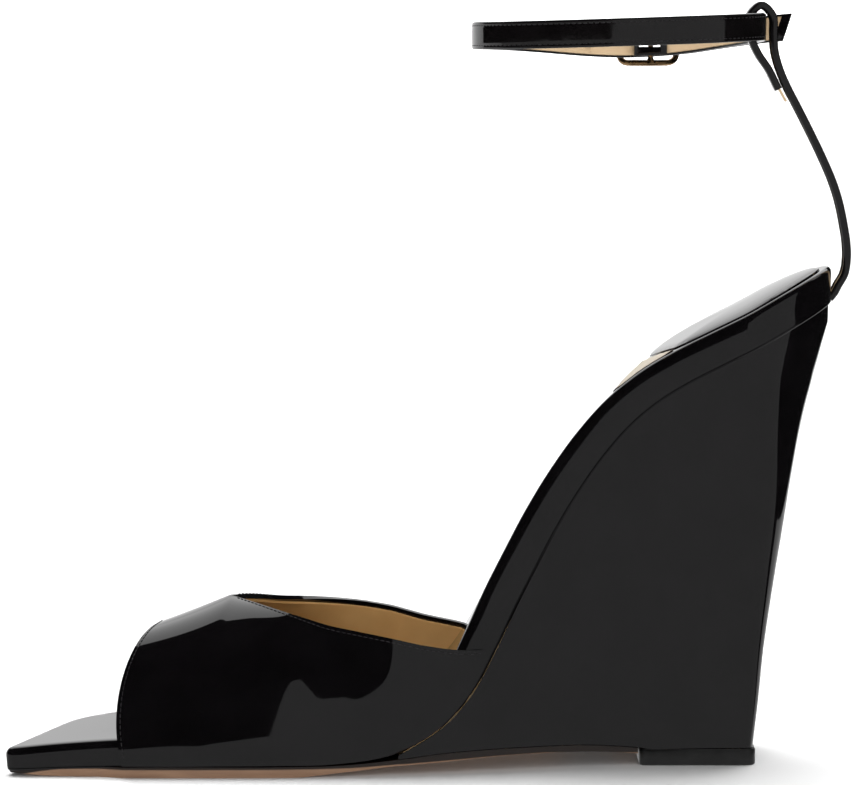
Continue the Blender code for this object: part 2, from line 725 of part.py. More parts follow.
def wedge_height(x, level, side):
    """Levels near the floor follow the outsole, and the last one follows the insole unit."""
    if level == WEDGE_LEVELS[-1]:
        rising, seam_x, _ = SEAMS[side]
        return float(np.interp(x, seam_x, rising))
    sole = float(curve(OUTSOLE_TOP, x)) + GAP if x < OUTSOLE_END_X else LIFT_HEIGHT + GAP
    return level + (sole - WEDGE_LEVELS[0]) * max(0.0, 1 - (level - WEDGE_LEVELS[0]) / 8)


def wedge_ring(z, inset):
    """One level of the wedge: inner side from front to back, then outer side from back to front."""
    back = float(curve(WEDGE_BACK, z)) - inset
    halves = []
    for side in (-1, 1):
        front_x, front_u = wedge_front(z, side)
        half = []
        for k in range(WEDGE_COLUMNS + 1):
            x = front_x + (back - front_x) * (1 - (1 - k / WEDGE_COLUMNS) ** 1.5)
            y = side * (wedge_half_width(x + inset * k / WEDGE_COLUMNS, z, side, front_x, front_u) - inset)
            half.append((x, y, wedge_height(x, z, side)))
        halves.append(half)
    return halves[0] + halves[1][::-1]


def strip_faces(rows, columns):
    return [[r * columns + c, r * columns + c + 1, (r + 1) * columns + c + 1, (r + 1) * columns + c]
            for r in range(rows - 1) for c in range(columns - 1)]


def make_wedge_cover():
    outer = np.vstack([wedge_ring(z, 0.0) for z in WEDGE_LEVELS])
    inner = np.vstack([wedge_ring(z, COVER_THICKNESS) for z in WEDGE_LEVELS])
    columns = 2 * (WEDGE_COLUMNS + 1)
    faces = strip_faces(len(WEDGE_LEVELS), columns)
    cover = make_object("wedge_cover", *shell(outer, inner, faces), patent())
    cut(cover, "riser_pocket_cutter", *riser_pocket())


def make_wedge_core():
    columns = 2 * (WEDGE_COLUMNS + 1)
    rows = len(WEDGE_LEVELS)
    vertices = np.vstack([wedge_ring(z, COVER_THICKNESS + 2 * GAP) for z in WEDGE_LEVELS])
    faces = strip_faces(rows, columns)
    for row in range(rows - 1):
        start, above = row * columns, (row + 1) * columns
        faces.append([start, above, above + columns - 1, above - 1])
    for row in (0, rows - 1):
        for c in range(WEDGE_COLUMNS):
            mirror = columns - 1 - c
            faces.append([row * columns + i for i in (c, c + 1, mirror - 1, mirror)])
    core = make_object("wedge_core", vertices, faces, moulded_core())
    cut(core, "fastener_cutter", *merge(*fastener_holes()))
    cut(core, "lift_pin_cutter", *merge(*(lift_pin(x, GAP) for x in LIFT_PIN_X)))
    cut(core, "riser_pocket_cutter", *riser_pocket())


def lift_pin(x, clearance):
    low, high = LIFT_PIN_REACH
    return cylinder((x, 0, low - clearance), (x, 0, high + clearance), LIFT_PIN_RADIUS + clearance)


def make_top_lift():
    front, back = LIFT_X
    corners = ((front, -1, 1.5), (back, -1, 3.4), (back, 1, 3.4), (front, 1, 1.5))
    spots = [(x, side * LIFT_HALF_WIDTH) for x, side, _ in corners]
    outline = []
    for i, (_, _, radius) in enumerate(corners):
        outline += fillet(spots[i - 1], spots[i], spots[(i + 1) % 4], radius)
    levels = [[(x, y, z) for x, y in outline] for z in (0, LIFT_HEIGHT)]
    lift = make_object("top_lift", *loft(levels), lift_rubber())
    cut(lift, "lift_pin_cutter", *merge(*(lift_pin(x, GAP) for x in LIFT_PIN_X)))
    for name, x in zip(("lift_pin_front", "lift_pin_rear"), LIFT_PIN_X):
        make_object(name, *lift_pin(x, 0), steel())


# ---------------------------------------------------------------- vamp

def vamp_patch(side):
    """Grid of points of one side of the vamp's outer surface, from sole edge to top line."""
    sign = -1 if side == "inner" else 1
    edge = inner_edge if side == "inner" else outer_edge
    shares = np.linspace(0, 1, VAMP_LENGTH_STEPS + 1)
    stations = VAMP_START_U[side] + shares * (VAMP_END_U - VAMP_START_U[side])
    foot = bend(stations, edge(stations) + sign * VAMP_STANDS_OUT, insole_bottom(stations) + 0.2)
    ridge = curve(VAMP_RIDGE, shares)
    topline = curve(VAMP_TOPLINE[side], shares)
    crest = np.where(shares[:, None] <= VAMP_THROAT + 1e-6, ridge, topline)
    outward = np.array([1, sign, 1])
    low_pull = foot + curve(VAMP_LOWER_PULL, shares) * outward
    high_pull = crest + curve(VAMP_UPPER_PULL[side], shares) * outward
    rows = []
    for t in np.linspace(0, 1, VAMP_GIRTH_STEPS + 1):
        rows.append((1 - t) ** 3 * foot + 3 * t * (1 - t) ** 2 * low_pull + 3 * t * t * (1 - t) * high_pull
                    + t ** 3 * crest)
    return np.array(rows)


def vamp_surface():
    """Points, normals and faces of the vamp's outer surface, with both sides joined on the ridge."""
    bm = bmesh.new()
    for side, flip in (("inner", False), ("outer", True)):
        grid = vamp_patch(side)
        verts = [[bm.verts.new(point) for point in row] for row in grid]
        for r in range(len(verts) - 1):
            for c in range(len(verts[0]) - 1):
                quad = [verts[r][c], verts[r][c + 1], verts[r + 1][c + 1], verts[r + 1][c]]
                bm.faces.new(quad[::-1] if flip else quad)
    bmesh.ops.remove_doubles(bm, verts=bm.verts, dist=1e-4)
    bm.normal_update()
    bm.verts.index_update()
    points = np.array([vertex.co for vertex in bm.verts])
    normals = np.array([vertex.normal for vertex in bm.verts])
    faces = [[vertex.index for vertex in face.verts] for face in bm.faces]
    bm.free()
    return points, normals, faces


def make_vamp():
    points, normals, faces = vamp_surface()
    lining_depth = LEATHER + 1.3 * GAP
    for name, near, far, look in (("vamp_outer", 0.0, LEATHER, patent()),
                                  ("vamp_lining", lining_depth, lining_depth + LINING, tan_leather())):
        make_object(name, *shell(points - normals * near, points - normals * far, faces), look)


# ---------------------------------------------------------------- riser strap

def path_frames(points):
    """Unit tangents along a polyline."""
    points = np.asarray(points, dtype=float)
    tangents = np.gradient(points, axis=0)
    return tangents / np.linalg.norm(tangents, axis=1, keepdims=True)


def riser_centres():
    table = with_lengths(RISER_PATH)
    stations = np.linspace(0, table[-1, 0], 42)
    flat = curve(table, stations)
    return np.column_stack((flat[:, 0], np.zeros(len(flat)), flat[:, 1]))


def riser_solid(low, high, trim=0):
    centres = riser_centres()
    tangents = path_frames(centres)
    normals = np.cross(tangents, (0, 1, 0)) * -1
    acrosses = np.tile((0.0, 1.0, 0.0), (len(centres), 1))
    last = len(centres) - trim
    return section_solid(centres[:last], acrosses[:last], normals[:last], RISER_WIDTH, low, high)


def riser_hinge():
    return (RISER_PATH[0][0], 0, RISER_PATH[0][1])


def make_riser():
    total = LEATHER + LINING + GAP
    hinge = empty("riser_hinge", riser_hinge())
    outer = make_object("riser_strap", *riser_solid(total / 2 - LEATHER, total / 2), patent(), riser_hinge())
    inner = make_object("riser_lining", *riser_solid(-total / 2, LINING - total / 2, trim=1), tan_leather(),
                        riser_hinge())
    for piece in (outer, inner):
        attach(piece, hinge)
    make_object("riser_anchor", *anchor_solid(0.0), patent())
    return hinge


def anchor_solid(clearance):
    """Hidden lower end of the riser, lying on top of the wedge under the insole unit."""
    end_u = HEEL_CENTRE_U + HEEL_REACH
    stations = np.linspace(end_u - ANCHOR_LENGTH - clearance, end_u - 0.1 + 4 * clearance, 8)
    top = -INSOLE_THICKNESS[-1][1] - GAP
    low, high = top - ANCHOR_THICKNESS - clearance, top + 3 * clearance
    half = RISER_WIDTH / 2 + clearance
    corners = ((-half, low), (half, low), (half, high), (-half, high))
    return loft([[bend(u, v, w) for v, w in corners] for u in stations])


def riser_pocket():
    return anchor_solid(GAP)


# ---------------------------------------------------------------- ankle strap and buckle

def strap_plan(angle):
    """Centre of the strap in plan, as a superellipse; angle 0 is the back, 90 the outer side."""
    c, s = math.cos(angle), math.sin(angle)
    power = 2 / STRAP_SQUARENESS
    x = STRAP_CENTRE[0] + STRAP_RADII[0] * math.copysign(abs(c) ** power, c)
    y = STRAP_CENTRE[1] + STRAP_RADII[1] * math.copysign(abs(s) ** power, s)
    return x, y


def strap_height(x, y):
    """The strap rises to the back, and sags on the outer side under the buckle."""
    outer_share = np.clip((np.asarray(y) / STRAP_RADII[1] + 0.3) / 1.3, 0, 1)
    return STRAP_HEIGHT + STRAP_RISE * x - STRAP_SAG * np.exp(-(((x - 54) / 32) ** 2)) * outer_share


def strap_loop():
    """One full turn of the strap from the buckle bar, round the back, as rows of (length, x, y)."""
    angles = BUCKLE_ANGLE - np.linspace(0, math.tau, 361)
    return with_lengths([strap_plan(a) for a in angles])


LOOP = strap_loop()
LOOP_LENGTH = LOOP[-1, 0]


def strap_route():
    """Rows of (distance, x, y) of the whole strap centre, from the bar round to the tip of the tail."""
    start = np.arange(STRAP_END_AT, LOOP_LENGTH - 8, 4.0)
    ramp = np.linspace(LOOP_LENGTH - 7.5, LOOP_LENGTH + TAIL_START, 16)
    stations = np.concatenate((start, ramp))
    wrapped = np.where(stations > LOOP_LENGTH, stations - LOOP_LENGTH, stations)
    points = curve(LOOP, wrapped)
    ahead = curve(LOOP, wrapped + 0.4) - curve(LOOP, np.maximum(wrapped - 0.4, 0))
    tangents = ahead / np.linalg.norm(ahead, axis=1, keepdims=True)
    outward = np.column_stack((-tangents[:, 1], tangents[:, 0]))
    share = np.clip((stations - (LOOP_LENGTH - 8)) / 7.5, 0, 1)
    points = points + outward * (BILLET_OFFSET * (3 - 2 * share) * share ** 2)[:, None]
    tail = points[-1] + np.outer(np.linspace(3, TAIL_LENGTH, 9), tangents[-1])
    return np.vstack((points, tail))


def strap_frames():
    flat = strap_route()
    heights = strap_height(flat[:, 0], flat[:, 1])
    centres = np.column_stack((flat, heights))
    tangents = path_frames(centres)
    normals = np.column_stack((-tangents[:, 1], tangents[:, 0], np.zeros(len(flat))))
    normals /= np.linalg.norm(normals, axis=1, keepdims=True)
    acrosses = np.tile((0.0, 0.0, 1.0), (len(flat), 1))
    return centres, acrosses, normals


def buckle_frame_axes():
    """Origin on the bar, and matrix whose columns are along, outward and up."""
    x, y = strap_plan(BUCKLE_ANGLE)
    ahead = curve(LOOP, 1.0) - curve(LOOP, 0.0)
    along = Vector((ahead[0], ahead[1], 0)).normalized()
    outward = Vector((-along.y, along.x, 0))
    origin = Vector((x, y, float(strap_height(x, y))))
    return origin, Matrix((along, outward, Vector((0, 0, 1)))).transposed()


def to_world(points):
    origin, axes = buckle_frame_axes()
    return [tuple(origin + axes @ Vector(point)) for point in points]


def beside_strap(distance, outward):
    """Point beside the strap's centre line, a distance behind the bar."""
    here = curve(LOOP, distance)
    ahead = curve(LOOP, distance + 0.4) - curve(LOOP, distance - 0.4)
    ahead /= np.linalg.norm(ahead)
    x, y = here + outward * np.array((-ahead[1], ahead[0]))
    return (x, y, float(strap_height(x, y)))


def buckle_box(alongs, outwards, half_height):
    """Box in the buckle's own frame."""
    (a0, a1), (o0, o1) = alongs, outwards
    section = ((a0, o0), (a1, o0), (a1, o1), (a0, o1))
    return loft([to_world([(a, o, h) for a, o in section]) for h in (-half_height, half_height)])


def punch_hole_cutters():
    """Spare adjustment holes in the billet, before and after the buckle."""
    centres, _, normals = strap_frames()
    lengths = with_lengths(centres)[:, 0] - (LOOP_LENGTH - STRAP_END_AT)
    holes = []
    for place in PUNCH_HOLES:
        centre = np.array([np.interp(place, lengths, centres[:, i]) for i in range(3)])
        normal = np.array([np.interp(place, lengths, normals[:, i]) for i in range(3)])
        holes.append(cylinder(centre - normal * 1.5, centre + normal * 1.5, PUNCH_RADIUS, 12))
    return holes


def make_ankle_strap(hinge):
    total = LEATHER + LINING + GAP
    centres, acrosses, normals = strap_frames()
    skins = (("ankle_strap_outer", total / 2 - LEATHER, total / 2, patent()),
             ("ankle_strap_lining", -total / 2, LINING - total / 2, tan_leather()))
    for name, low, high, look in skins:
        strap = make_object(name, *section_solid(centres, acrosses, normals, STRAP_WIDTH, low, high), look,
                            strap_hinge())
        prong_slit = buckle_box(SLOT_REACH, (0.5, 6.0), SLOT_HEIGHT / 2)
        cut(strap, "billet_cutter", *merge(prong_slit, *punch_hole_cutters()))
        attach(strap, hinge)
    chape = make_object("buckle_chape", *chape_solid(), patent(), strap_hinge())
    cut(chape, "prong_eye_cutter", *buckle_box(EYE_SPACE_ALONG, EYE_SPACE_OUTWARD, PRONG_RADIUS + 0.35))
    attach(chape, hinge)


def strap_hinge():
    x = STRAP_CENTRE[0] + STRAP_RADII[0]
    return (x, 0, float(strap_height(x, 0)))


def chape_solid():
    """Leather folded round the bar, its two legs either side of the strap's end."""
    middle = CHAPE_INNER + CHAPE_THICKNESS / 2
    reach = np.arange(CHAPE_LENGTH, 1, -1.2)
    legs = [(a, middle) for a in reach] + list(CHAPE_FOLD) + [(a, -middle) for a in reach[::-1]]
    centres = np.array([beside_strap(a, o) if a > 0.5 else to_world([(a, o, 0)])[0] for a, o in legs])
    tangents = path_frames(centres)
    normals = np.cross((0, 0, 1), tangents)
    acrosses = np.tile((0.0, 0.0, 1.0), (len(legs), 1))
    half = CHAPE_THICKNESS / 2
    return section_solid(centres, acrosses, normals, STRAP_WIDTH - 0.4, -half, half)


def frame_path():
    """Closed centre line of the buckle frame: a rounded rectangle, bowed outward at both ends."""
    corners = ((FRAME_FRONT, -1), (FRAME_BACK, -1), (FRAME_BACK, 1), (FRAME_FRONT, 1))
    spots = [(a, side * FRAME_HALF_HEIGHT) for a, side in corners]
    flat = []
    for i in range(4):
        flat += fillet(spots[i - 1], spots[i], spots[(i + 1) % 4], FRAME_CORNER, 4)
        if i % 2 == 0:
            row_side = spots[i][1]
            stations = np.linspace(FRAME_FRONT + 3.4, FRAME_BACK - 3.4, 5)
            flat += [(a, row_side) for a in (stations if i == 0 else stations[::-1])]
    c0, c1, c2 = FRAME_BOW
    return to_world([(a, c0 + c1 * a + c2 * a * a, h) for a, h in flat])


def make_buckle(strap_empty):
    bar = empty("buckle_bar_axis", buckle_frame_axes()[0])
    attach(bar, strap_empty)
    frame = make_object("buckle_frame", *tube_solid(frame_path(), WIRE_RADIUS, closed=True), old_gold(),
                        buckle_frame_axes()[0])
    bar_ends = to_world([(0, 0, -FRAME_HALF_HEIGHT), (0, 0, FRAME_HALF_HEIGHT)])
    cut(frame, "buckle_bar_union", *cylinder(*bar_ends, BAR_RADIUS), operation="UNION")
    prong = make_object("buckle_prong", *prong_solid(), old_gold(), buckle_frame_axes()[0])
    for piece in (frame, prong):
        attach(piece, bar)


def prong_solid():
    """Wire bent into an eye round the bar, then straight out to rest on the front of the frame."""
    eye = BAR_RADIUS + 0.15 + PRONG_RADIUS
    turn = [(eye * math.cos(a), eye * math.sin(a), 0) for a in np.radians(np.arange(-205, 96, 25))]
    front = FRAME_BOW[0] + FRAME_BOW[1] * FRAME_FRONT + FRAME_BOW[2] * FRAME_FRONT ** 2
    rest = front + WIRE_RADIUS + PRONG_RADIUS + 0.12
    arm = [(-2.2, 1.75, 0), (-5.0, 2.9, 0), (FRAME_FRONT, rest, 0), (FRAME_FRONT - 1.0, rest + 0.1, 0)]
    return tube_solid(to_world(turn + arm), PRONG_RADIUS)


# ---------------------------------------------------------------- assembly

def empty(name, location):
    made = bpy.data.objects.new(name, None)
    made.location = (Vector(location) + CENTRING) * MM
    bpy.context.collection.objects.link(made)
    return made


def attach(piece, parent):
    """Parent a piece without moving it."""
    bpy.context.view_layer.update()
    piece.parent = parent
    piece.matrix_parent_inverse = parent.matrix_world.inverted()


def clear_scene():
    for existing in list(bpy.data.objects):
        bpy.data.objects.remove(existing, do_unlink=True)


def main():
    clear_scene()
    make_outsole()
    make_insole_wrap()
    make_cushion()
    make_board()
    make_forefoot_filler()
    make_shank_board()
    make_shank()
    make_fasteners()
    make_heel_pad()
    make_sock_panel()
    make_wedge_core()
    make_wedge_cover()
    make_top_lift()
    make_vamp()
    riser_empty = make_riser()
    strap_empty = empty("strap_hinge", strap_hinge())
    attach(strap_empty, riser_empty)
    make_ankle_strap(strap_empty)
    make_buckle(strap_empty)


main()
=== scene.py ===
"""Looks of the wedge sandal: fine surfaces, stitching, materials, studio and camera.

Shapes are worked out in millimetres in the sandal's design coordinates, and put in the frame by the
riser's hinge. X runs from the toe (-) to the heel (+), +Y is the outer side and +Z is up. The footbed
is described by u (distance along it from the toe), v (across) and w (height above it).
"""

import json
import math

import bmesh
import bpy
import numpy as np
from mathutils import Matrix, Vector


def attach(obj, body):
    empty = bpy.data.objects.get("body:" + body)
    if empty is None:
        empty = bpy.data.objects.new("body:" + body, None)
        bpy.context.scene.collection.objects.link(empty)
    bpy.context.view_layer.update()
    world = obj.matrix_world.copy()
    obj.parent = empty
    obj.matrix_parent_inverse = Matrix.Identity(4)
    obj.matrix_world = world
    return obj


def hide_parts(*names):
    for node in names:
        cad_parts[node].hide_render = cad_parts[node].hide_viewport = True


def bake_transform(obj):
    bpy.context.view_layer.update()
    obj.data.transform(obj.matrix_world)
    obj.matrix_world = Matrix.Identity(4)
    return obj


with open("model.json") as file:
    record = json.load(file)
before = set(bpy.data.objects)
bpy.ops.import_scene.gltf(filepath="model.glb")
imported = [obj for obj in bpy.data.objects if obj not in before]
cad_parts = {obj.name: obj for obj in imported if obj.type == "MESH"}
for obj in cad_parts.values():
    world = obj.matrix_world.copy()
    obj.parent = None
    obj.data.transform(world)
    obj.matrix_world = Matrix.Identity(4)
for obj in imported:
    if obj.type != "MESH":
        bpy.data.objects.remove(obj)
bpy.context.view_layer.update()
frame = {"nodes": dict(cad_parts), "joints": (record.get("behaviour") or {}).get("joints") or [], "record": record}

MM = 0.001
GAP = 0.3
SEAM_GAP = 0.5
RISER_HINGE = np.array((103.1, 0.0, 121.0))

# Footbed: side profile of the inner edge of its top surface, from toe to heel (x, z)
TOE_X = -107.5
FOOTBED_PROFILE = (
    (-110.0, 6.8), (TOE_X, 7.0), (-94, 8.3), (-79, 9.3), (-60, 9.5), (-40, 9.6), (-25, 10.2),
    (-13, 12.4), (-4.5, 17.0), (1.8, 24.0), (7.6, 35.0), (12.6, 46.0), (17.6, 56.0), (22.8, 66.0),
    (29, 76.3), (35.9, 85.9),
    (43.8, 94.6), (52.3, 101.3), (61.1, 106.4), (69.8, 110.7), (78.5, 115.0), (87.2, 119.8), (95.5, 124.1),
    (102.6, 127.2),
)
INSOLE_THICKNESS = ((0, 5.0), (14, 5.8), (28, 6.4), (70, 6.6), (96, 7.4), (112, 8.0), (275, 8.0))
OUTER_EDGE_DROP = (
    (0, 0), (88, 0), (105, 1.2), (120, 2.6), (150, 4.6), (175, 5.6), (197, 4.6), (212, 2.6), (225, 1.2),
    (240, 0.9), (275, 0.5),
)
HEEL_RAKE = 0.46
HEEL_RAKE_START = 205

# Footbed outline: inner and outer edges against u, with a slanted square toe
INNER_EDGE = (
    (5, 35.8), (28, 36.2), (50, 36.4), (70, 36.0), (88, 34.2), (105, 31.4), (125, 28.8), (150, 26.4),
    (180, 25.0), (210, 25.0), (237, 25.8),
)
OUTER_EDGE = (
    (24, 10.2), (38, 16.8), (52, 23.8), (67, 30.0), (82, 33.6), (97, 33.8), (110, 31.8), (125, 29.0),
    (150, 26.4), (180, 25.0), (210, 25.0), (237, 25.8),
)
TOE_CORNERS = (((-1.4, -35.7), 5.5), ((14.8, 6.6), 9.0))
HEEL_CENTRE_U = 237.0
HEEL_REACH = 25.5
COVER_THICKNESS = 1.0
PAD_FRONT = ((209.5, 21.4), (218.0, -21.4))
PAD_HALF_WIDTH = 22.6
PAD_EDGE = 0.4
PAD_ROLL = (0.25, 0.4)
PAD_CROWN = (1.2, 8.0)
SOCK_CORNERS = ((198.0, -21.2), (216.4, -21.2), (208.0, 21.2), (201.0, 21.2))
SOCK_EDGE = 0.25
SOCK_ROLL = (0.2, 0.3)
WELT_RADIUS = 0.42
RIM_ROUND = 1.9

# Outsole: top and underside heights against x
OUTSOLE_TOP = (
    (-107.5, 1.7), (-93, 2.2), (-79, 2.6), (-37, 2.7), (-25, 2.8), (-8.5, 4.0), (1.5, 5.1), (12, 5.7),
    (25, 6.0), (40, 5.9), (52.5, 4.8),
)
OUTSOLE_UNDERSIDE = (
    (-107.5, 1.0), (-95, 0.2), (-86, 0), (-60, 0), (-34, 0), (-24, 1.0), (-8.5, 2.5), (1.5, 3.1), (15, 4.0),
    (28, 4.4), (42, 4.2), (52.5, 3.4),
)
OUTSOLE_END_X = 51.7
# Height above which the sole's edge is inked black, against x
SOLE_INK_FROM = (
    (-107.5, 0.2), (-103.5, 0.5), (-99, 1.3), (-93, 2.0), (-30, 2.05), (-20, 2.2), (-8.5, 2.85), (1.5, 3.35),
    (15, 4.1), (28, 4.5), (52.5, 3.6),
)

# Wedge: back edge (z, x), half width of its sides (z, y) and how its back is rounded (z, reach, depth)
WEDGE_BACK = (
    (4.6, 81.0), (16, 82.3), (29.5, 83.6), (43, 85.5), (58.3, 88.0), (74.5, 90.8), (89.7, 94.2),
    (97.5, 96.5), (106, 98.8), (112, 100.4), (120, 101.9),
)
WEDGE_SIDE = ((4.6, 19.0), (40, 20.6), (80, 23.0), (105, 25.2), (120, 25.8))
WEDGE_ROUND = (
    (4.6, 2.6, 2.8), (30, 3.2, 3.6), (51, 4.8, 5.4), (70, 7.0, 8.6), (87, 13.2, 16.0), (104, 22.0, 23.8),
    (120, 24.0, 24.8),
)
WEDGE_BOTTOM, WEDGE_TOP = 4.6, 112.5
WEDGE_STANDS_OUT = 2.4
WEDGE_FLARE_Z = (62.0, 18.0)
WEDGE_TAPER = 0.95
SOLE_INSET = 0.8

LIFT_X = (52.1, 81.7)
LIFT_HALF_WIDTH = 19.2
LIFT_HEIGHT = 4.2
LIFT_CORNERS = (1.5, 3.4, 3.4, 1.5)

# Vamp: centre ridge and the two top lines, each (share of the length, x, y, z)
VAMP_START_U = {"inner": 29.5, "outer": 36.5}
VAMP_END_U = 124.0
VAMP_THROAT = 0.2
VAMP_RIDGE = ((0, -70.5, -10, 35.3), (0.1, -61, -8, 38.6), (0.2, -52, -6, 42.0))
VAMP_TOPLINE = {
    "inner": (
        (0.2, -52, -6, 42.0), (0.28, -46.2, -13, 41.2), (0.36, -39.4, -20, 40.0), (0.44, -32.8, -26, 38.8),
        (0.52, -26.2, -30.5, 37.4), (0.6, -19.8, -33, 36.4), (0.7, -11.5, -34.6, 34.9),
        (0.82, -2.0, -34.2, 32.8),
        (0.92, 6.2, -33.2, 31.6), (1, 12.6, -31.8, 31.4),
    ),
    "outer": (
        (0.2, -52, -6, 42.0), (0.28, -46.2, 2, 41.2), (0.36, -39.4, 11, 39.6), (0.44, -32.8, 19, 38.4),
        (0.52, -26.2, 25.5, 37.2), (0.6, -19.8, 30.0, 36.0), (0.7, -11.5, 33.2, 34.2),
        (0.82, -2.0, 33.6, 31.6),
        (0.92, 7.4, 33.4, 29.6), (1, 14.6, 32.4, 27.6),
    ),
}
# How far the wall leans out above its lower edge, and rolls in below its upper edge: (share, x, out, z)
VAMP_LOWER_PULL = (
    (0, -4.5, 0.6, 17), (0.2, 0, 1.4, 19), (0.5, 0, 1.6, 14), (0.75, 0, 1.2, 8), (1, 0, 0.2, 0.7),
)
VAMP_UPPER_PULL = {
    "inner": ((0, -5, 18, 0), (0.2, 0, 19, -1), (0.35, 0, 12, -4), (0.5, 0, 4.5, -9), (0.75, 0, 1.6, -7),
              (1, 0, 0.2, -0.7)),
    "outer": ((0, 1, 14, 0), (0.2, 0, 18, -1), (0.35, 0, 12, -4), (0.5, 0, 4.5, -9), (0.75, 0, 1.6, -7),
              (1, 0, 0.2, -0.7)),
}
VAMP_STANDS_OUT = 2.8
VAMP_EDGE = 1.2
VAMP_FOLD = 1.5
VAMP_LENGTH_STEPS = 100
VAMP_GIRTH_STEPS = 36

# Straps
STRAP_WIDTH = 7.0
LEATHER = 0.9
LINING = 0.7
STRAP_TOP = (LEATHER + LINING + GAP) / 2
LEATHER_UNDERSIDE = STRAP_TOP - LEATHER - 0.1
STRAP_CENTRE = (47.0, 0.0)
STRAP_RADII = (36.4, 28.4)
STRAP_SQUARENESS = 2.35
STRAP_HEIGHT = 184.2
STRAP_RISE = 0.032
STRAP_SAG = 4.0
STRAP_LIP = 0.5
BILLET_OFFSET = 3.1
TIP_SLANT = 0.36
TIP_FOLD = 2.0
TAIL_START = 12.0
TAIL_LENGTH = 23.8
RISER_WIDTH = 6.5
RISER_PATH = (
    (103.1, 121.0), (104.6, 123.6), (105.3, 127.6), (105.2, 131.5), (104.4, 136.6), (103.0, 142.9),
    (101.4, 147.7), (99.0, 153.2), (95.2, 161.0), (92.0, 167.2), (89.7, 171.6), (87.7, 176.4), (86.5, 181.0),
    (86.3, 185.2), (86.0, 189.6), (83.2, 192.2), (80.3, 189.7), (80.2, 185.4), (82.2, 180.2), (85.2, 175.7),
    (87.2, 171.6), (89.3, 167.7),
)

RISER_ROOT = ((100.9, 117.6), (102.2, 119.2))
RISER_BARE_END = 3.2

# Buckle, in its own frame: along the strap, outward, up
BUCKLE_ANGLE = math.radians(78.2)
BAR_RADIUS = 0.65
BAR_END_RADIUS = 1.2
WIRE_RADIUS = 0.8
FRAME_FRONT = -8.4
FRAME_BACK = 6.2
FRAME_HALF_HEIGHT = 5.1
FRAME_CORNER = 2.6
FRAME_BOW = (0.5, 0.3826, 0.0779)
CHAPE_LENGTH = 4.6
CHAPE_FOLD = (
    (0.0, 1.55), (-0.7, 1.4), (-1.3, 1.0), (-2.0, 0.35), (-2.8, -0.35), (-3.5, -0.65), (-3.82, -0.78),
    (-3.95, -1.1), (-3.82, -1.42), (-3.5, -1.55),
)
CHAPE_INNER = 1.25
CHAPE_THICKNESS = 0.6
STRAP_END_AT = 2.6
PRONG_RADIUS = 0.55
SLOT_REACH = (-7.0, 3.6)
SLOT_HEIGHT = 1.9
PUNCH_HOLES = (-16.0, -22.5, 12.0, 18.5)

# Stitching
STITCH_PITCH = 1.45
STITCH_LENGTH = 1.05
THREAD_RADIUS = 0.14
EDGE_TO_STITCH = 1.0
STITCH_SINK = 0.14

# Camera, in design coordinates
CAMERA_AT = (-1.5, -1200.0, 200.0)
CAMERA_TILT = 5.079
CAMERA_LENS = 197.9

# Studio: cards seen only in reflections, as (name, corners in metres, emission)
CARDS = (
    ("front_card", ((-3, -4, -0.002), (3, -4, -0.002), (3, -1.13, -0.002), (0.11, -0.01, -0.002),
                    (-3, -0.01, -0.002)), 0.45),
    ("front_wall_card", ((0, -3, 0), (2.8, -1.075, 0), (2.8, -1.075, 2.2), (0, -3, 2.2)), 0.45),
    ("rear_floor_card", ((-3, -0.01, -0.003), (0.35, -0.01, -0.003), (0.35, 2.2, -0.003),
                         (-3, 2.2, -0.003)), 0.95),
    ("rear_card", ((-3, 2.2, 0), (0.35, 2.2, 0), (0.35, 2.2, 0.9), (-3, 2.2, 0.9)), 1.0),
    ("top_card", ((-1.2, 0.75, 1.6), (1.2, 0.75, 1.6), (1.2, 2.2, 0.9), (-1.2, 2.2, 0.9)), 1.4),
)
# Suns, as (name, turn, strength, spread)
SUNS = (("overhead", (-25, 0, 0), 5.2, 60), ("front_fill", (78, 0, 0), 2.2, 90))
ROOM_HALF_SIZE = 8.0
ROOM_HEIGHT = 6.0


# ---------------------------------------------------------------- curves

def curve(table, at):
    """Smooth curve through rows of (knot, value, ...), read at one or many places."""
    rows = np.asarray(table, dtype=float)
    knots = rows[:, 0]
    values = rows[:, 1:]
    slopes = np.gradient(values, knots, axis=0)
    at = np.clip(np.asarray(at, dtype=float), knots[0], knots[-1])
    index = np.clip(np.searchsorted(knots, at) - 1, 0, len(knots) - 2)
    span = (knots[index + 1] - knots[index])[..., None]
    t = (at - knots[index])[..., None] / span
    result = (
        (1 + 2 * t) * (1 - t) ** 2 * values[index]
        + t * (1 - t) ** 2 * span * slopes[index]
        + t ** 2 * (3 - 2 * t) * values[index + 1]
        + t ** 2 * (t - 1) * span * slopes[index + 1]
    )
    return result[..., 0] if values.shape[1] == 1 else result


def with_lengths(points):
    """Rows of (distance along the polyline, coordinates)."""
    points = np.asarray(points, dtype=float)
    steps = np.linalg.norm(np.diff(points, axis=0), axis=1)
    return np.column_stack((np.concatenate(([0.0], np.cumsum(steps))), points))


FOOTBED = with_lengths(FOOTBED_PROFILE)
FOOTBED[:, 0] -= FOOTBED[1, 0]
FOOTBED_LENGTH = FOOTBED[-1, 0]


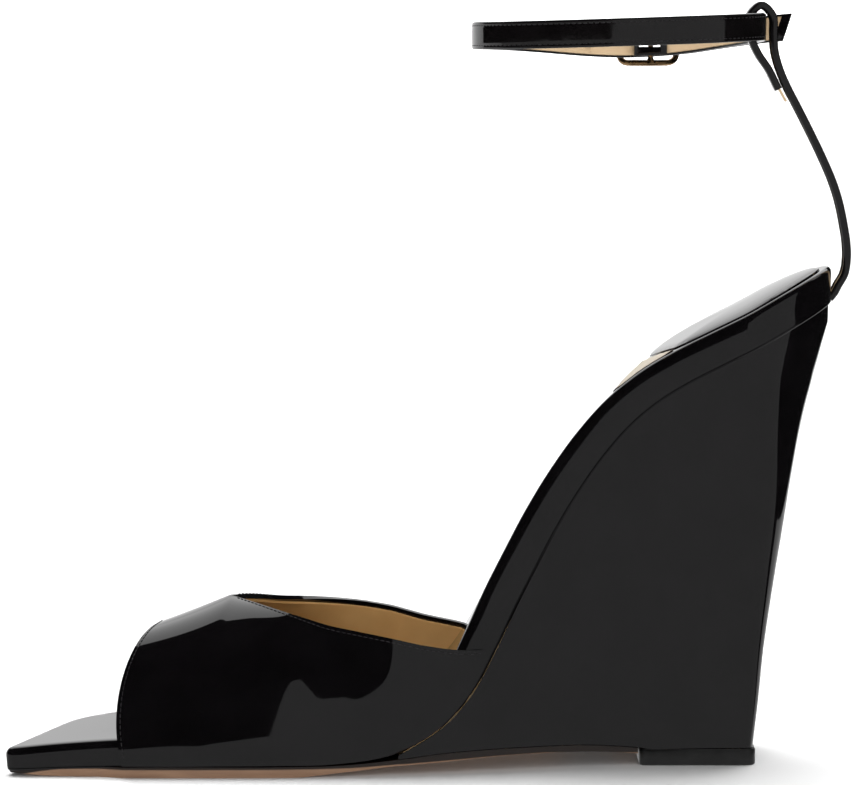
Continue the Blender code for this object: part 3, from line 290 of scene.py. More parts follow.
def bend(u, v, w):
    """Place footbed coordinates in space."""
    u, v, w = np.broadcast_arrays(*(np.asarray(value, dtype=float) for value in (u, v, w)))
    rake = HEEL_RAKE * np.clip((u - HEEL_RAKE_START) / (FOOTBED_LENGTH - HEEL_RAKE_START), 0, 1)
    along = u + np.minimum(w, 0) * rake
    point = curve(FOOTBED, along)
    ahead = curve(FOOTBED, np.minimum(along + 0.5, FOOTBED_LENGTH))
    behind = curve(FOOTBED, np.maximum(along - 0.5, 0))
    tangent = ahead - behind
    tangent /= np.linalg.norm(tangent, axis=-1, keepdims=True)
    over = np.maximum(along - FOOTBED_LENGTH, 0)
    height = w - curve(OUTER_EDGE_DROP, along) * np.clip(0.5 + v / 52, 0, 1)
    x = point[..., 0] - tangent[..., 1] * height + tangent[..., 0] * over
    z = point[..., 1] + tangent[..., 0] * height + tangent[..., 1] * over
    return np.stack((x, v, z), axis=-1)


def insole_bottom(u):
    return -curve(INSOLE_THICKNESS, u)


def arc(centre, radii, start, end, steps):
    """Points of an elliptical arc, angles in degrees."""
    angles = np.radians(np.linspace(start, end, steps + 1))
    return [(centre[0] + radii[0] * math.cos(a), centre[1] + radii[1] * math.sin(a)) for a in angles]


def fillet(before, corner, after, radius, steps=10):
    """Round one corner of an outline with a quadratic curve of about this radius."""
    corner = np.array(corner)
    inward = [np.array(end) - corner for end in (before, after)]
    start, end = (corner + radius * side / np.linalg.norm(side) for side in inward)
    ts = np.linspace(0, 1, steps + 1)
    return [tuple((1 - t) ** 2 * start + 2 * t * (1 - t) * corner + t * t * end) for t in ts]


def rounded(corners, radii, steps):
    """Closed outline with its corners rounded."""
    outline = []
    for i, corner in enumerate(corners):
        outline += fillet(corners[i - 1], corner, corners[(i + 1) % len(corners)], radii[i], steps)
    return outline


def shrink(outline, distance):
    """Move an anticlockwise outline inward."""
    points = np.asarray(outline, dtype=float)
    edges = np.roll(points, -1, axis=0) - points
    edges /= np.linalg.norm(edges, axis=1, keepdims=True)
    tangents = edges + np.roll(edges, 1, axis=0)
    tangents /= np.linalg.norm(tangents, axis=1, keepdims=True)
    return points + distance * np.column_stack((-tangents[:, 1], tangents[:, 0]))


def close_at_toe(inner, outer, corners):
    """Outline from two edges that run toe to heel, joined by a toe rounded at these corners."""
    inner_corner, outer_corner = corners
    (_, inner_radius), (_, outer_radius) = TOE_CORNERS
    toe = fillet(outer_corner, inner_corner, inner[0], inner_radius)
    toe_side = fillet(outer[0], outer_corner, inner_corner, outer_radius)
    return toe + inner + outer[::-1] + toe_side


def footbed_outline(inset=0.0):
    """Outline of the footbed in (u, v), anticlockwise, moved inward by inset."""
    side_stations = np.arange(30, HEEL_CENTRE_U, 2.0)
    inner = [(u, -float(curve(INNER_EDGE, u))) for u in (9.0, 13.0, 17.0, 21.0, 25.0, *side_stations)]
    outer = [(u, float(curve(OUTER_EDGE, u))) for u in side_stations]
    heel = arc((HEEL_CENTRE_U, 0), (HEEL_REACH, 25.8), -90, 90, 48)
    return shrink(close_at_toe(inner + heel, outer, [corner for corner, _ in TOE_CORNERS]), inset)


def from_end(points):
    """Distance of each point of a path from the path's end."""
    return with_lengths(points[::-1])[::-1, 0]


def directions(points):
    """Unit tangents along a polyline."""
    tangents = np.gradient(np.asarray(points, dtype=float), axis=0)
    return tangents / np.linalg.norm(tangents, axis=1, keepdims=True)


# ---------------------------------------------------------------- meshes

def design_shift():
    """What design coordinates need to land in the frame, from the riser's hinge."""
    hinge = next(joint for joint in frame["joints"] if joint["name"] == "riser_flex")
    return np.array(hinge["pos_m"]) / MM - RISER_HINGE


SHIFT = design_shift()


def piece(name, vertices, faces, look, body, slot=None, replaces=(), sharp_angle=50):
    """A shown piece of the sandal, from points in design coordinates, on a body if one is given."""
    mesh = bpy.data.meshes.new(name)
    points = (np.asarray(vertices, dtype=float) + SHIFT) * MM
    mesh.from_pydata(points.tolist(), [], [tuple(int(i) for i in face) for face in faces])
    bm = bmesh.new()
    bm.from_mesh(mesh)
    bmesh.ops.remove_doubles(bm, verts=bm.verts, dist=1e-6)
    bmesh.ops.recalc_face_normals(bm, faces=bm.faces)
    limit = math.radians(sharp_angle)
    for face in bm.faces:
        face.smooth = True
    for edge in bm.edges:
        edge.smooth = edge.is_manifold and edge.calc_face_angle(0) < limit
    bm.to_mesh(mesh)
    bm.free()
    made = bpy.data.objects.new(name, mesh)
    bpy.context.collection.objects.link(made)
    mesh.materials.append(look)
    if body:
        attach(made, body)
    if replaces:
        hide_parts(*replaces)
    return made


def soften(made, width, segments=2):
    """Round the sharp edges of a piece."""
    bevel = made.modifiers.new("edge_round", "BEVEL")
    bevel.width = width * MM
    bevel.segments = segments
    bevel.limit_method = "ANGLE"
    bevel.angle_limit = math.radians(50)
    bevel.harden_normals = True
    return made


def cut(made, vertices, faces, operation="DIFFERENCE"):
    """Boolean with a solid that is removed afterwards."""
    helper = piece("cutter", vertices, faces, made.data.materials[0], "shoe")
    modifier = made.modifiers.new("cut", "BOOLEAN")
    modifier.operation = operation
    modifier.object = helper
    graph = bpy.context.evaluated_depsgraph_get()
    graph.update()
    result = bpy.data.meshes.new_from_object(made.evaluated_get(graph))
    made.modifiers.remove(modifier)
    made.data = result
    bpy.data.objects.remove(helper)
    return made


def shell(top, bottom, faces):
    """Closed solid between two matching sheets; faces are wound to face out of the top sheet."""
    count = len(top)
    open_edges = set()
    for face in faces:
        for a, b in zip(face, face[1:] + face[:1]):
            if (b, a) in open_edges:
                open_edges.remove((b, a))
            else:
                open_edges.add((a, b))
    solid = [tuple(f) for f in faces]
    solid += [tuple(i + count for i in reversed(f)) for f in faces]
    solid += [(b, a, a + count, b + count) for a, b in sorted(open_edges)]
    return np.vstack((top, bottom)), solid


def cut_sheet(outline, along=2.0, across=4.0):
    """Flat sheet inside an outline, cut into a grid, as points, faces and its border loop."""
    bm = bmesh.new()
    bm.faces.new([bm.verts.new((u, v, 0)) for u, v in outline])
    low, high = np.min(outline, axis=0), np.max(outline, axis=0)
    for axis, step in ((0, along), (1, across)):
        normal = tuple(float(i == axis) for i in range(3))
        for station in np.arange(math.ceil(low[axis] / step + 0.2) * step, high[axis] - 0.3, step):
            spot = tuple(station * component for component in normal)
            everything = bm.verts[:] + bm.edges[:] + bm.faces[:]
            bmesh.ops.bisect_plane(bm, geom=everything, dist=1e-3, plane_co=spot, plane_no=normal)
    bm.normal_update()
    bm.verts.index_update()
    points = np.array([vertex.co[:2] for vertex in bm.verts])
    faces = [[vertex.index for vertex in face.verts] for face in bm.faces]
    following = {}
    for edge in bm.edges:
        if edge.is_boundary:
            loop = edge.link_loops[0]
            following[loop.vert.index] = loop.link_loop_next.vert.index
    bm.free()
    border = [next(iter(following))]
    while following[border[-1]] != border[0]:
        border.append(following[border[-1]])
    return points, faces, border


def edge_distance(points, outline):
    """Distance of each point from the nearest edge of an outline."""
    outline = np.asarray(outline, dtype=float)
    nearest = np.full(len(points), np.inf)
    for a, b in zip(outline, np.roll(outline, -1, axis=0)):
        span = b - a
        t = np.clip((points - a) @ span / max(span @ span, 1e-9), 0, 1)
        nearest = np.minimum(nearest, np.linalg.norm(points - a - t[:, None] * span, axis=1))
    return nearest


def ring_faces(rings):
    """Quads between closed loops of indices, wound like the sheet inside the first loop."""
    faces = []
    for upper, lower in zip(rings, rings[1:]):
        for i in range(len(upper)):
            j = (i + 1) % len(upper)
            faces.append([upper[j], upper[i], lower[i], lower[j]])
    return faces


def grid_faces(rows, columns):
    return [[r * columns + c, r * columns + c + 1, (r + 1) * columns + c + 1, (r + 1) * columns + c]
            for r in range(rows - 1) for c in range(columns - 1)]


def loft(rows, closed=False):
    """Solid through matching closed loops, capped at its ends unless its path is closed."""
    rows = np.asarray(rows, dtype=float)
    count, size = rows.shape[:2]
    faces = []
    for i in range(count if closed else count - 1):
        j = (i + 1) % count
        for k in range(size):
            m = (k + 1) % size
            faces.append((i * size + k, i * size + m, j * size + m, j * size + k))
    if not closed:
        faces += [tuple(range(size))[::-1], tuple(range((count - 1) * size, count * size))]
    return rows.reshape(-1, 3), faces


def sweep(centres, acrosses, normals, section):
    """Closed solid: a closed section of (side, height) points carried along a path of frames."""
    section = np.asarray(section, dtype=float)
    rows = (centres[:, None, :] + section[None, :, 0, None] * acrosses[:, None, :]
            + section[None, :, 1, None] * normals[:, None, :])
    return loft(rows)


def rounded_edge(half, low, high, radius):
    """Points round one edge of a strip, from its top face down to its underside."""
    points = []
    for middle, angles in ((high - radius, (30, 60, 90)), (low + radius, (90, 120, 150, 180))):
        for a in np.radians(angles):
            points.append((half - radius + radius * math.sin(a), middle + radius * math.cos(a)))
    return points


def strap_section(width, low, high, crown=0.0, groove_at=None, lip_low=None):
    """Section of a strip: crowned face, pressed stitch lines, and edges turned down to a lip if given."""
    base = low if lip_low is None else lip_low
    radius = (high - base) * 0.48 if lip_low is None else 0.5
    half = width / 2
    sides = np.linspace(half - radius, radius - half, 33)
    face = crown * (1 - (sides / half) ** 2)
    if groove_at:
        face -= 0.09 * np.exp(-(((np.abs(sides) - groove_at) / 0.3) ** 2))
    right = rounded_edge(half, base, high, radius)
    if lip_low is not None:
        right += [(half - STRAP_LIP, base), (half - STRAP_LIP, low)]
    left = [(-side, height) for side, height in right]
    return list(zip(sides, high + face)) + left + right[::-1]


def turned_section(width, crown):
    """Patent of a strap, turned over the edges of its lining."""
    return strap_section(width, LEATHER_UNDERSIDE, STRAP_TOP, crown, width / 2 - EDGE_TO_STITCH, -STRAP_TOP)


def lining_section(width, low):
    return strap_section(width - 2 * STRAP_LIP - 0.1, low, LEATHER_UNDERSIDE - 0.02)


def tube(points, radius, closed=False, sides=20):
    """Round wire along a path of points; the radius may change along it."""
    points = [Vector(p) for p in points]
    count = len(points)
    radii = np.broadcast_to(radius, count).tolist()
    rows = []
    up = Vector((0.01, 0.02, 1))
    for i, point in enumerate(points):
        before = points[i - 1] if closed or i else point
        after = points[(i + 1) % count] if closed or i < count - 1 else point
        tangent = (after - before).normalized()
        side = tangent.cross(up).normalized()
        over = side.cross(tangent)
        rows.append([point + radii[i] * (math.cos(a) * side + math.sin(a) * over)
                     for a in np.linspace(0, math.tau, sides, False)])
        up = over
    return loft(rows, closed)


def merge(solids):
    vertices, faces = [], []
    for solid_vertices, solid_faces in solids:
        shift = len(vertices)
        vertices += [tuple(v) for v in solid_vertices]
        faces += [tuple(i + shift for i in face) for face in solid_faces]
    return vertices, faces


def stitch_row(points, normals):
    """Thread lying on a surface in short rounded stitches along a line."""
    table = with_lengths(points)
    solids = []
    for start in np.arange(STITCH_PITCH / 2, table[-1, 0] - STITCH_LENGTH, STITCH_PITCH):
        ts = start + STITCH_LENGTH * np.array((0, 0.06, 0.2, 0.5, 0.8, 0.94, 1))
        sink = THREAD_RADIUS * np.array((-1.2, -0.35, 0.15, 0.35, 0.15, -0.35, -1.2)) + 0.02
        spots = np.column_stack([np.interp(ts, table[:, 0], table[:, i]) for i in (1, 2, 3)])
        ups = np.column_stack([np.interp(ts, table[:, 0], normals[:, i]) for i in range(3)])
        thickness = THREAD_RADIUS * np.array((0.45, 0.85, 1, 1, 1, 0.85, 0.45))
        solids.append(tube(spots + ups * sink[:, None], thickness, sides=7))
    return merge(solids)


def strap_stitches(centres, acrosses, normals, width):
    """Rows of stitches along both edges of a strap."""
    rows = []
    for side in (-1, 1):
        line = centres + acrosses * side * (width / 2 - EDGE_TO_STITCH) + normals * (STRAP_TOP - STITCH_SINK)
        rows.append(stitch_row(line[3:-3], normals[3:-3]))
    return merge(rows)


# ---------------------------------------------------------------- materials

def node(tree, kind, place, **settings):
    made = tree.nodes.new(kind)
    made.location = place
    for name, value in settings.items():
        setattr(made, name, value)
    return made


def noise(tree, place, scale, detail=3.0, roughness=0.55, stretch=(1, 1, 1)):
    """Noise in the piece's own coordinates, so that it stays put when the piece moves."""
    coordinates = node(tree, "ShaderNodeTexCoord", (place[0] - 400, place[1]))
    mapping = node(tree, "ShaderNodeMapping", (place[0] - 200, place[1]))
    mapping.inputs["Scale"].default_value = stretch
    made = node(tree, "ShaderNodeTexNoise", place)
    made.inputs["Scale"].default_value = scale
    made.inputs["Detail"].default_value = detail
    made.inputs["Roughness"].default_value = roughness
    tree.links.new(coordinates.outputs["Object"], mapping.inputs["Vector"])
    tree.links.new(mapping.outputs["Vector"], made.inputs["Vector"])
    return made


def ramp(tree, source, place, stops):
    """Colours between stops of (position, colour)."""
    made = node(tree, "ShaderNodeValToRGB", place)
    elements = made.color_ramp.elements
    while len(elements) < len(stops):
        elements.new(0.5)
    for element, (position, colour) in zip(elements, stops):
        element.position = position
        element.color = (*colour, 1)
    tree.links.new(source, made.inputs["Fac"])
    return made.outputs["Color"]


def value_range(tree, source, place, low, high, source_low=0.3, source_high=0.7):
    made = node(tree, "ShaderNodeMapRange", place)
    made.inputs["From Min"].default_value = source_low
    made.inputs["From Max"].default_value = source_high
    made.inputs["To Min"].default_value = low
    made.inputs["To Max"].default_value = high
    tree.links.new(source, made.inputs["Value"])
    return made.outputs["Result"]


def add_bump(tree, source, place, height, below=None):
    """Bump whose relief is this many millimetres."""
    made = node(tree, "ShaderNodeBump", place)
    made.inputs["Strength"].default_value = 1.0
    made.inputs["Distance"].default_value = height * MM
    tree.links.new(source, made.inputs["Height"])
    if below:
        tree.links.new(below, made.inputs["Normal"])
    return made.outputs["Normal"]


def material(name, dark, light, colour_scale, roughness, bumps, metallic=0.0, stretch=(1, 1, 1),
             spread=(0.3, 0.7)):
    """Principled material: noisy colour and roughness, and bumps of (scale, height)."""
    made = bpy.data.materials.new(name)
    made.use_nodes = True
    tree = made.node_tree
    shader = tree.nodes["Principled BSDF"]
    shader.inputs["Metallic"].default_value = metallic
    tint = noise(tree, (-900, 300), colour_scale, stretch=stretch)
    colour = ramp(tree, tint.outputs["Fac"], (-600, 300), tuple(zip(spread, (dark, light))))
    tree.links.new(colour, shader.inputs["Base Color"])
    wear = noise(tree, (-900, 0), colour_scale * 1.7, 5.0)
    tree.links.new(value_range(tree, wear.outputs["Fac"], (-600, 0), *roughness), shader.inputs["Roughness"])
    normal = None
    for i, (scale, height) in enumerate(bumps):
        relief = noise(tree, (-900, -300 - 250 * i), scale, 2.0, stretch=stretch)
        normal = add_bump(tree, relief.outputs["Fac"], (-500 + 150 * i, -300 - 250 * i), height, normal)
    tree.links.new(normal, shader.inputs["Normal"])
    return made


def patent_leather():
    return material("patent_leather", (0.0018, 0.0015, 0.0018), (0.003, 0.0026, 0.003), 90, (0.03, 0.05),
                    ((28, 0.018), (900, 0.0012)), spread=(0.35, 0.65))


def strap_patent():
    """The same patent, cut thin: its film follows the grain of the narrow strip more."""
    return material("strap_patent", (0.0025, 0.002, 0.0022), (0.004, 0.0034, 0.0036), 120, (0.05, 0.09),
                    ((220, 0.03), (1500, 0.002)), spread=(0.35, 0.65))


def lining_leather(name, dark, light):
    """Smooth calf lining: pores, faint clouds of colour."""
    return material(name, dark, light, 70, (0.48, 0.62), ((160, 0.02), (2600, 0.012)))


def ink_above(made, ink, limits):
    """Ink a material above a height that changes along X, with limits of (x, z) in the frame, in metres."""
    tree = made.node_tree
    shader = tree.nodes["Principled BSDF"]
    source = shader.inputs["Base Color"].links[0].from_socket
    low, high = limits[0][0], limits[-1][0]
    coordinates = node(tree, "ShaderNodeTexCoord", (-1100, 700))
    split = node(tree, "ShaderNodeSeparateXYZ", (-900, 700))
    tree.links.new(coordinates.outputs["Object"], split.inputs["Vector"])
    share = value_range(tree, split.outputs["X"], (-700, 800), 0, 1, low, high)
    stops = [((x - low) / (high - low), (z * 100,) * 3) for x, z in limits]
    level = ramp(tree, share, (-500, 800), stops)
    height = node(tree, "ShaderNodeMath", (-500, 500), operation="MULTIPLY")
    height.inputs[1].default_value = 100
    over = node(tree, "ShaderNodeMath", (-300, 600), operation="SUBTRACT")
    tree.links.new(split.outputs["Z"], height.inputs[0])
    tree.links.new(height.outputs[0], over.inputs[0])
    tree.links.new(level, over.inputs[1])
    mix = node(tree, "ShaderNodeMix", (0, 500), data_type="RGBA")
    mix.inputs[7].default_value = (*ink, 1)
    tree.links.new(value_range(tree, over.outputs[0], (-150, 600), 0, 1, -0.015, 0.015), mix.inputs[0])
    tree.links.new(source, mix.inputs[6])
    tree.links.new(mix.outputs[2], shader.inputs["Base Color"])
    return made


def sole_leather():
    made = material("sole_leather", (0.25, 0.14, 0.08), (0.36, 0.21, 0.125), 260, (0.3, 0.45),
                    ((900, 0.02), (3000, 0.01)), stretch=(0.25, 0.25, 2.5))
    limits = [((x + SHIFT[0]) * MM, z * MM) for x, z in SOLE_INK_FROM]
    return ink_above(made, (0.012, 0.007, 0.005), limits)


def edge_ink():
    return material("edge_ink", (0.02, 0.011, 0.007), (0.04, 0.022, 0.013), 600, (0.4, 0.6), ((2000, 0.01),))


def thread():
    return material("black_thread", (0.006, 0.005, 0.006), (0.02, 0.018, 0.02), 1500, (0.35, 0.5),
                    ((4000, 0.02),))


def old_gold():
    return material("old_gold", (0.2, 0.12, 0.06), (0.4, 0.26, 0.13), 380, (0.18, 0.34), ((1200, 0.006),),
                    metallic=1.0)


def lift_rubber():
    return material("lift_rubber", (0.004, 0.004, 0.004), (0.009, 0.009, 0.009), 300, (0.4, 0.55),
                    ((2500, 0.02),))


def inner_materials():
    """Looks of the pieces inside, by record slot."""
    foam = material("latex_foam", (0.62, 0.56, 0.43), (0.8, 0.75, 0.62), 400, (0.8, 0.95), ((1800, 0.15),))
    board = material("fibreboard", (0.36, 0.27, 0.17), (0.5, 0.4, 0.27), 500, (0.75, 0.9), ((1400, 0.06),))
    cork = material("cork", (0.16, 0.08, 0.035), (0.42, 0.25, 0.12), 900, (0.8, 0.95), ((1100, 0.12),),
                    spread=(0.35, 0.6))
    steel = material("steel", (0.38, 0.38, 0.39), (0.55, 0.55, 0.56), 300, (0.25, 0.4), ((2500, 0.004),),
                     metallic=1.0, stretch=(0.2, 4, 4))
    wood = material("light_wood", (0.5, 0.34, 0.18), (0.68, 0.5, 0.3), 140, (0.55, 0.7), ((700, 0.04),),
                    stretch=(0.3, 3, 3))
    return {"latex_foam": foam, "fibreboard": board, "cork": cork, "steel": steel, "light_wood": wood}


# ---------------------------------------------------------------- footbed

def make_footbed(look):
    """Patent cover of the insole: top, rounded rim and skirt, one millimetre thick."""
    points, faces, border = cut_sheet(footbed_outline(RIM_ROUND))
    sheets = []
    for wall in (0.0, COVER_THICKNESS):
        sheet = [bend(*points.T, -wall)]
        radius = RIM_ROUND - wall
        for angle in np.radians((15, 30, 45, 60, 75, 90)):
            ring = shrink(points[border], -radius * math.sin(angle))
            sheet.append(bend(ring[:, 0], ring[:, 1], -wall - radius * (1 - math.cos(angle))))
        side = shrink(points[border], -radius)
        for share in (0.4, 0.8, 1.0):
            low = insole_bottom(side[:, 0])
            sheet.append(bend(side[:, 0], side[:, 1], -RIM_ROUND + share * (low + RIM_ROUND)))
        sheets.append(np.vstack(sheet))
    count = len(border)
    rings = [border] + [list(range(len(points) + k * count, len(points) + (k + 1) * count)) for k in range(9)]
    piece("footbed_cover", *shell(*sheets, faces + ring_faces(rings)), look, "shoe", "patent_leather",
          ("insole_wrap",))


def pad_outline():
    heel_front = HEEL_CENTRE_U - 1
    heel = arc((heel_front, 0), (HEEL_REACH - 2.4, PAD_HALF_WIDTH), -90, 90, 40)
    outer, inner = PAD_FRONT
    outer_corner = fillet((heel_front, PAD_HALF_WIDTH), outer, inner, 6)
    inner_corner = fillet(outer, inner, (heel_front, -PAD_HALF_WIDTH), 6)
    return np.array(heel + outer_corner + inner_corner)


def rise(inside, height_and_reach):
    """Height gained this far inside an edge."""
    height, reach = height_and_reach
    return height * (1 - np.exp(-inside / reach))


def make_heel_pad(look):
    """Patent pad over foam: highest in the middle, rolled down to its edge."""
    outline = pad_outline()
    points, faces, _ = cut_sheet(outline, 1.2, 1.6)
    inside = edge_distance(points, outline)
    top = bend(*points.T, PAD_EDGE + rise(inside, PAD_ROLL) + rise(inside, PAD_CROWN))
    pad = piece("heel_pad", *shell(top, bend(*points.T, GAP / 2), faces), look, "shoe", "patent_leather",
                ("heel_pad_skin", "heel_pad_foam"))


def make_sock_insert(look, ink):
    """Cream leather insert in front of the pad, with inked edges."""
    outline = np.array(rounded(SOCK_CORNERS, (1.2,) * 4, 4))
    points, faces, _ = cut_sheet(outline, 1.5, 3.0)
    top = bend(*points.T, SOCK_EDGE + rise(edge_distance(points, outline), SOCK_ROLL))
    sheet = shell(top, bend(*points.T, GAP / 2), faces)
    piece("sock_insert", *sheet, look, "shoe", "tan_leather", ("sock_panel",))
    edge = tube(bend(*outline.T, SOCK_EDGE - 0.03), 0.16, closed=True, sides=10)
    piece("sock_insert_edge", *edge, ink, "shoe")


def make_welt(look):
    """Thin black cord that closes the seam under the footbed."""
    line = np.array(footbed_outline(0.45))
    low = insole_bottom(line[:, 0]) - SEAM_GAP / 2
    piece("footbed_welt", *tube(bend(*line.T, low), WELT_RADIUS, closed=True, sides=12), look, "shoe")


# ---------------------------------------------------------------- sole and wedge

def seam_table(v):
    """Where the wedge meets the insole unit on one side: rows of (z, x, u)."""
    stations = np.arange(96, FOOTBED_LENGTH - 2, 1.0)
    points = bend(stations, np.full_like(stations, v), insole_bottom(stations) - SEAM_GAP)
    return np.maximum.accumulate(points[:, 2]), points[:, 0], stations


SEAMS = {side: seam_table(side * 25.0) for side in (-1, 1)}


def wedge_front(z, side):
    """x, and footbed station u, of the wedge's sloping face at height z."""
    rising, x, stations = SEAMS[side]
    return float(np.interp(z, rising, x)), float(np.interp(z, rising, stations))


def taper(share):
    """From 0 to 1 along the wedge: sloping like the footbed's edge at first, level at the back."""
    return WEDGE_TAPER * share * (1 - share) ** 2 + (3 - 2 * share) * share ** 2


def wedge_plan(z, side):
    """Front x, width there, where the back's rounding starts, side width, and the rounding's depth."""
    front_x, front_u = wedge_front(z, side)
    edge = float(curve(INNER_EDGE if side < 0 else OUTER_EDGE, front_u))
    high, low = WEDGE_FLARE_Z
    flare = float(np.clip((high - z) / (high - low), 0, 1))
    front = edge + WEDGE_STANDS_OUT * (3 - 2 * flare) * flare ** 2
    reach, depth = curve(WEDGE_ROUND, z)
    round_start = float(curve(WEDGE_BACK, z)) - reach
    side_width = float(curve(WEDGE_SIDE, z))
    return front_x, front, round_start, side_width, reach, depth


def wedge_half(z, side, flat_steps=26, round_steps=16):
    """Points (x, y) of one side of a wedge level, from the front to the back."""
    front_x, front, round_start, side_width, reach, depth = wedge_plan(z, side)
    depth = min(depth, side_width - 3.0)
    turned = math.asin(min(max((front_x - round_start) / reach, 0.0), 1.0))
    half = []
    angles = list(np.linspace(1.6 * turned, math.pi / 2, round_steps + 1))
    if turned:
        angles = list(np.linspace(turned, 1.6 * turned, flat_steps, endpoint=False)) + angles
    else:
        for share in np.linspace(0, 1, flat_steps, endpoint=False):
            x = front_x + (round_start - front_x) * share
            half.append((x, side * (front + (side_width - front) * taper(share))))
    for angle in angles:
        y = side * (side_width - depth * (1 - math.cos(angle)))
        half.append((round_start + reach * math.sin(angle), y))
    return half


def sole_edge(x, side):
    """Half width of the outsole on one side, against x."""
    front_x, front, round_start, side_width = wedge_plan(WEDGE_BOTTOM, side)[:4]
    if x > front_x:
        share = min((x - front_x) / (round_start - front_x), 1.0)
        return front + (side_width - front) * taper(share) - SOLE_INSET
    edge = float(curve(INNER_EDGE if side < 0 else OUTER_EDGE, x - TOE_X))
    return edge - 0.4 + (WEDGE_STANDS_OUT - SOLE_INSET + 0.4) * min(max((x + 84) / 6, 0), 1)


def make_outsole(look):
    stations = np.arange(-75, OUTSOLE_END_X, 2.0)
    inner = [(x, -sole_edge(x, -1)) for x in (-99, -95, -91, -87, -84, -81, -78, *stations, OUTSOLE_END_X)]
    outer = [(x, sole_edge(x, 1)) for x in (*stations, OUTSOLE_END_X)]
    corners = [(TOE_X + u + 0.9, v + set_in) for ((u, v), _), set_in in zip(TOE_CORNERS, (0.7, -0.6))]
    points, faces, _ = cut_sheet(np.array(close_at_toe(inner, outer, corners)), 2.0, 8.0)
    x, y = points.T
    tread = (x > -86) & (x < -34)
    underside = np.maximum(curve(OUTSOLE_UNDERSIDE, x), 0) * np.where(tread, 0, 1)
    sheets = [np.column_stack((x, y, height)) for height in (curve(OUTSOLE_TOP, x), underside)]
    made = piece("leather_sole", *shell(*sheets, faces), look, "shoe", "sole_leather", ("outsole",))
    soften(made, 0.35)


def wedge_height(x, level, side):
    """Levels near the floor follow the outsole, and the last one follows the insole unit."""
    if level == WEDGE_TOP:
        rising, seam_x, _ = SEAMS[side]
        return float(np.interp(x, seam_x, rising))
    sole = float(curve(OUTSOLE_TOP, x)) + GAP if x < OUTSOLE_END_X else LIFT_HEIGHT + GAP
    return level + (sole - WEDGE_BOTTOM) * max(0.0, 1 - (level - WEDGE_BOTTOM) / 8)


def wedge_sheet(levels):
    """Outer surface of the wedge: inner side front to back, then outer side back to front, level by level."""
    rows = []
    for z in levels:
        inner = [(x, y, wedge_height(x, z, -1)) for x, y in wedge_half(z, -1)]
        outer = [(x, y, wedge_height(x, z, 1)) for x, y in wedge_half(z, 1)]
        (x, inner_y, height), outer_y = inner[-1], outer[-1][1]
        middle = [(x, inner_y + (outer_y - inner_y) * share, height) for share in (0.25, 0.5, 0.75)]
        rows.append(inner + middle + outer[::-1])
    return np.array(rows)


def make_wedge(look):
    """Patent sheet round the wedge, one millimetre thick."""
    low = WEDGE_BOTTOM + np.array((0, 0.4, 0.9, 1.5, 2.2, 3, 4, 5, 6.2, 7.5, 9, 11, 13, 16))
    levels = np.concatenate((low, np.arange(23, 100, 2.0), np.arange(100, WEDGE_TOP, 1.0), (WEDGE_TOP,)))
    rows = wedge_sheet(levels)
    inward = np.cross(np.gradient(rows, axis=0), np.gradient(rows, axis=1))
    inward /= np.linalg.norm(inward, axis=-1, keepdims=True)
    inward[..., 2] = 0
    inner = rows + inward * COVER_THICKNESS
    inner[:, 0, 0] = rows[:, 0, 0]
    inner[:, -1, 0] = rows[:, -1, 0]
    faces = grid_faces(len(levels), rows.shape[1])
    made = piece("wedge_leather", *shell(rows.reshape(-1, 3), inner.reshape(-1, 3), faces), look, "shoe",
                 "patent_leather", ("wedge_cover",))
    soften(made, 0.25)


def make_top_lift(look):
    front, back = LIFT_X
    half = LIFT_HALF_WIDTH
    outline = rounded(((front, -half), (back, -half), (back, half), (front, half)), LIFT_CORNERS, 8)
    levels = (
        (0.35, 0.0), (0.0, 0.35), (0.0, LIFT_HEIGHT - 0.5), (0.25, LIFT_HEIGHT - 0.2), (0.25, LIFT_HEIGHT),
    )
    rows = [[(x, y, z) for x, y in shrink(outline, inset)] for inset, z in levels]
    piece("heel_top_piece", *loft(rows), look, "shoe", "lift_rubber", ("top_lift",))


# ---------------------------------------------------------------- vamp

def vamp_patch(side, set_back=0.0):
    """Grid of points of one side of the vamp's outer surface, from sole edge to top line or short of it."""
    sign = -1 if side == "inner" else 1
    front_share = 0.4 * set_back / (VAMP_END_U - VAMP_START_U[side])
    shares = np.linspace(front_share, 1 - 2 * front_share, VAMP_LENGTH_STEPS + 1)
    stations = VAMP_START_U[side] + shares * (VAMP_END_U - VAMP_START_U[side])
    edge = sign * curve(INNER_EDGE if side == "inner" else OUTER_EDGE, stations)
    foot = bend(stations, edge + sign * VAMP_STANDS_OUT, insole_bottom(stations) + 0.2)
    ridge = curve(VAMP_RIDGE, shares)
    topline = curve(VAMP_TOPLINE[side], shares)
    crest = np.where(shares[:, None] <= VAMP_THROAT + 1e-6, ridge, topline)
    outward = np.array([1, sign, 1])
    low_pull = foot + curve(VAMP_LOWER_PULL, shares) * outward
    high_pull = crest + curve(VAMP_UPPER_PULL[side], shares) * outward
    girth = np.linalg.norm(crest - foot, axis=1)
    trimmed = set_back / girth * np.clip((shares - VAMP_THROAT) / 0.04, 0, 1)
    foot_trim = 0.6 * set_back / girth
    t = np.linspace(0, 1, VAMP_GIRTH_STEPS + 1)[:, None, None] * (1 - trimmed - foot_trim)[None, :, None]
    t = t + foot_trim[None, :, None]
    lower = (1 - t) ** 3 * foot + 3 * t * (1 - t) ** 2 * low_pull
    return lower + 3 * t * t * (1 - t) * high_pull + t ** 3 * crest


def vamp_normals(grid, side):
    normals = np.cross(np.gradient(grid, axis=1), np.gradient(grid, axis=0))
    normals /= np.linalg.norm(normals, axis=-1, keepdims=True)
    return normals if side == "inner" else -normals


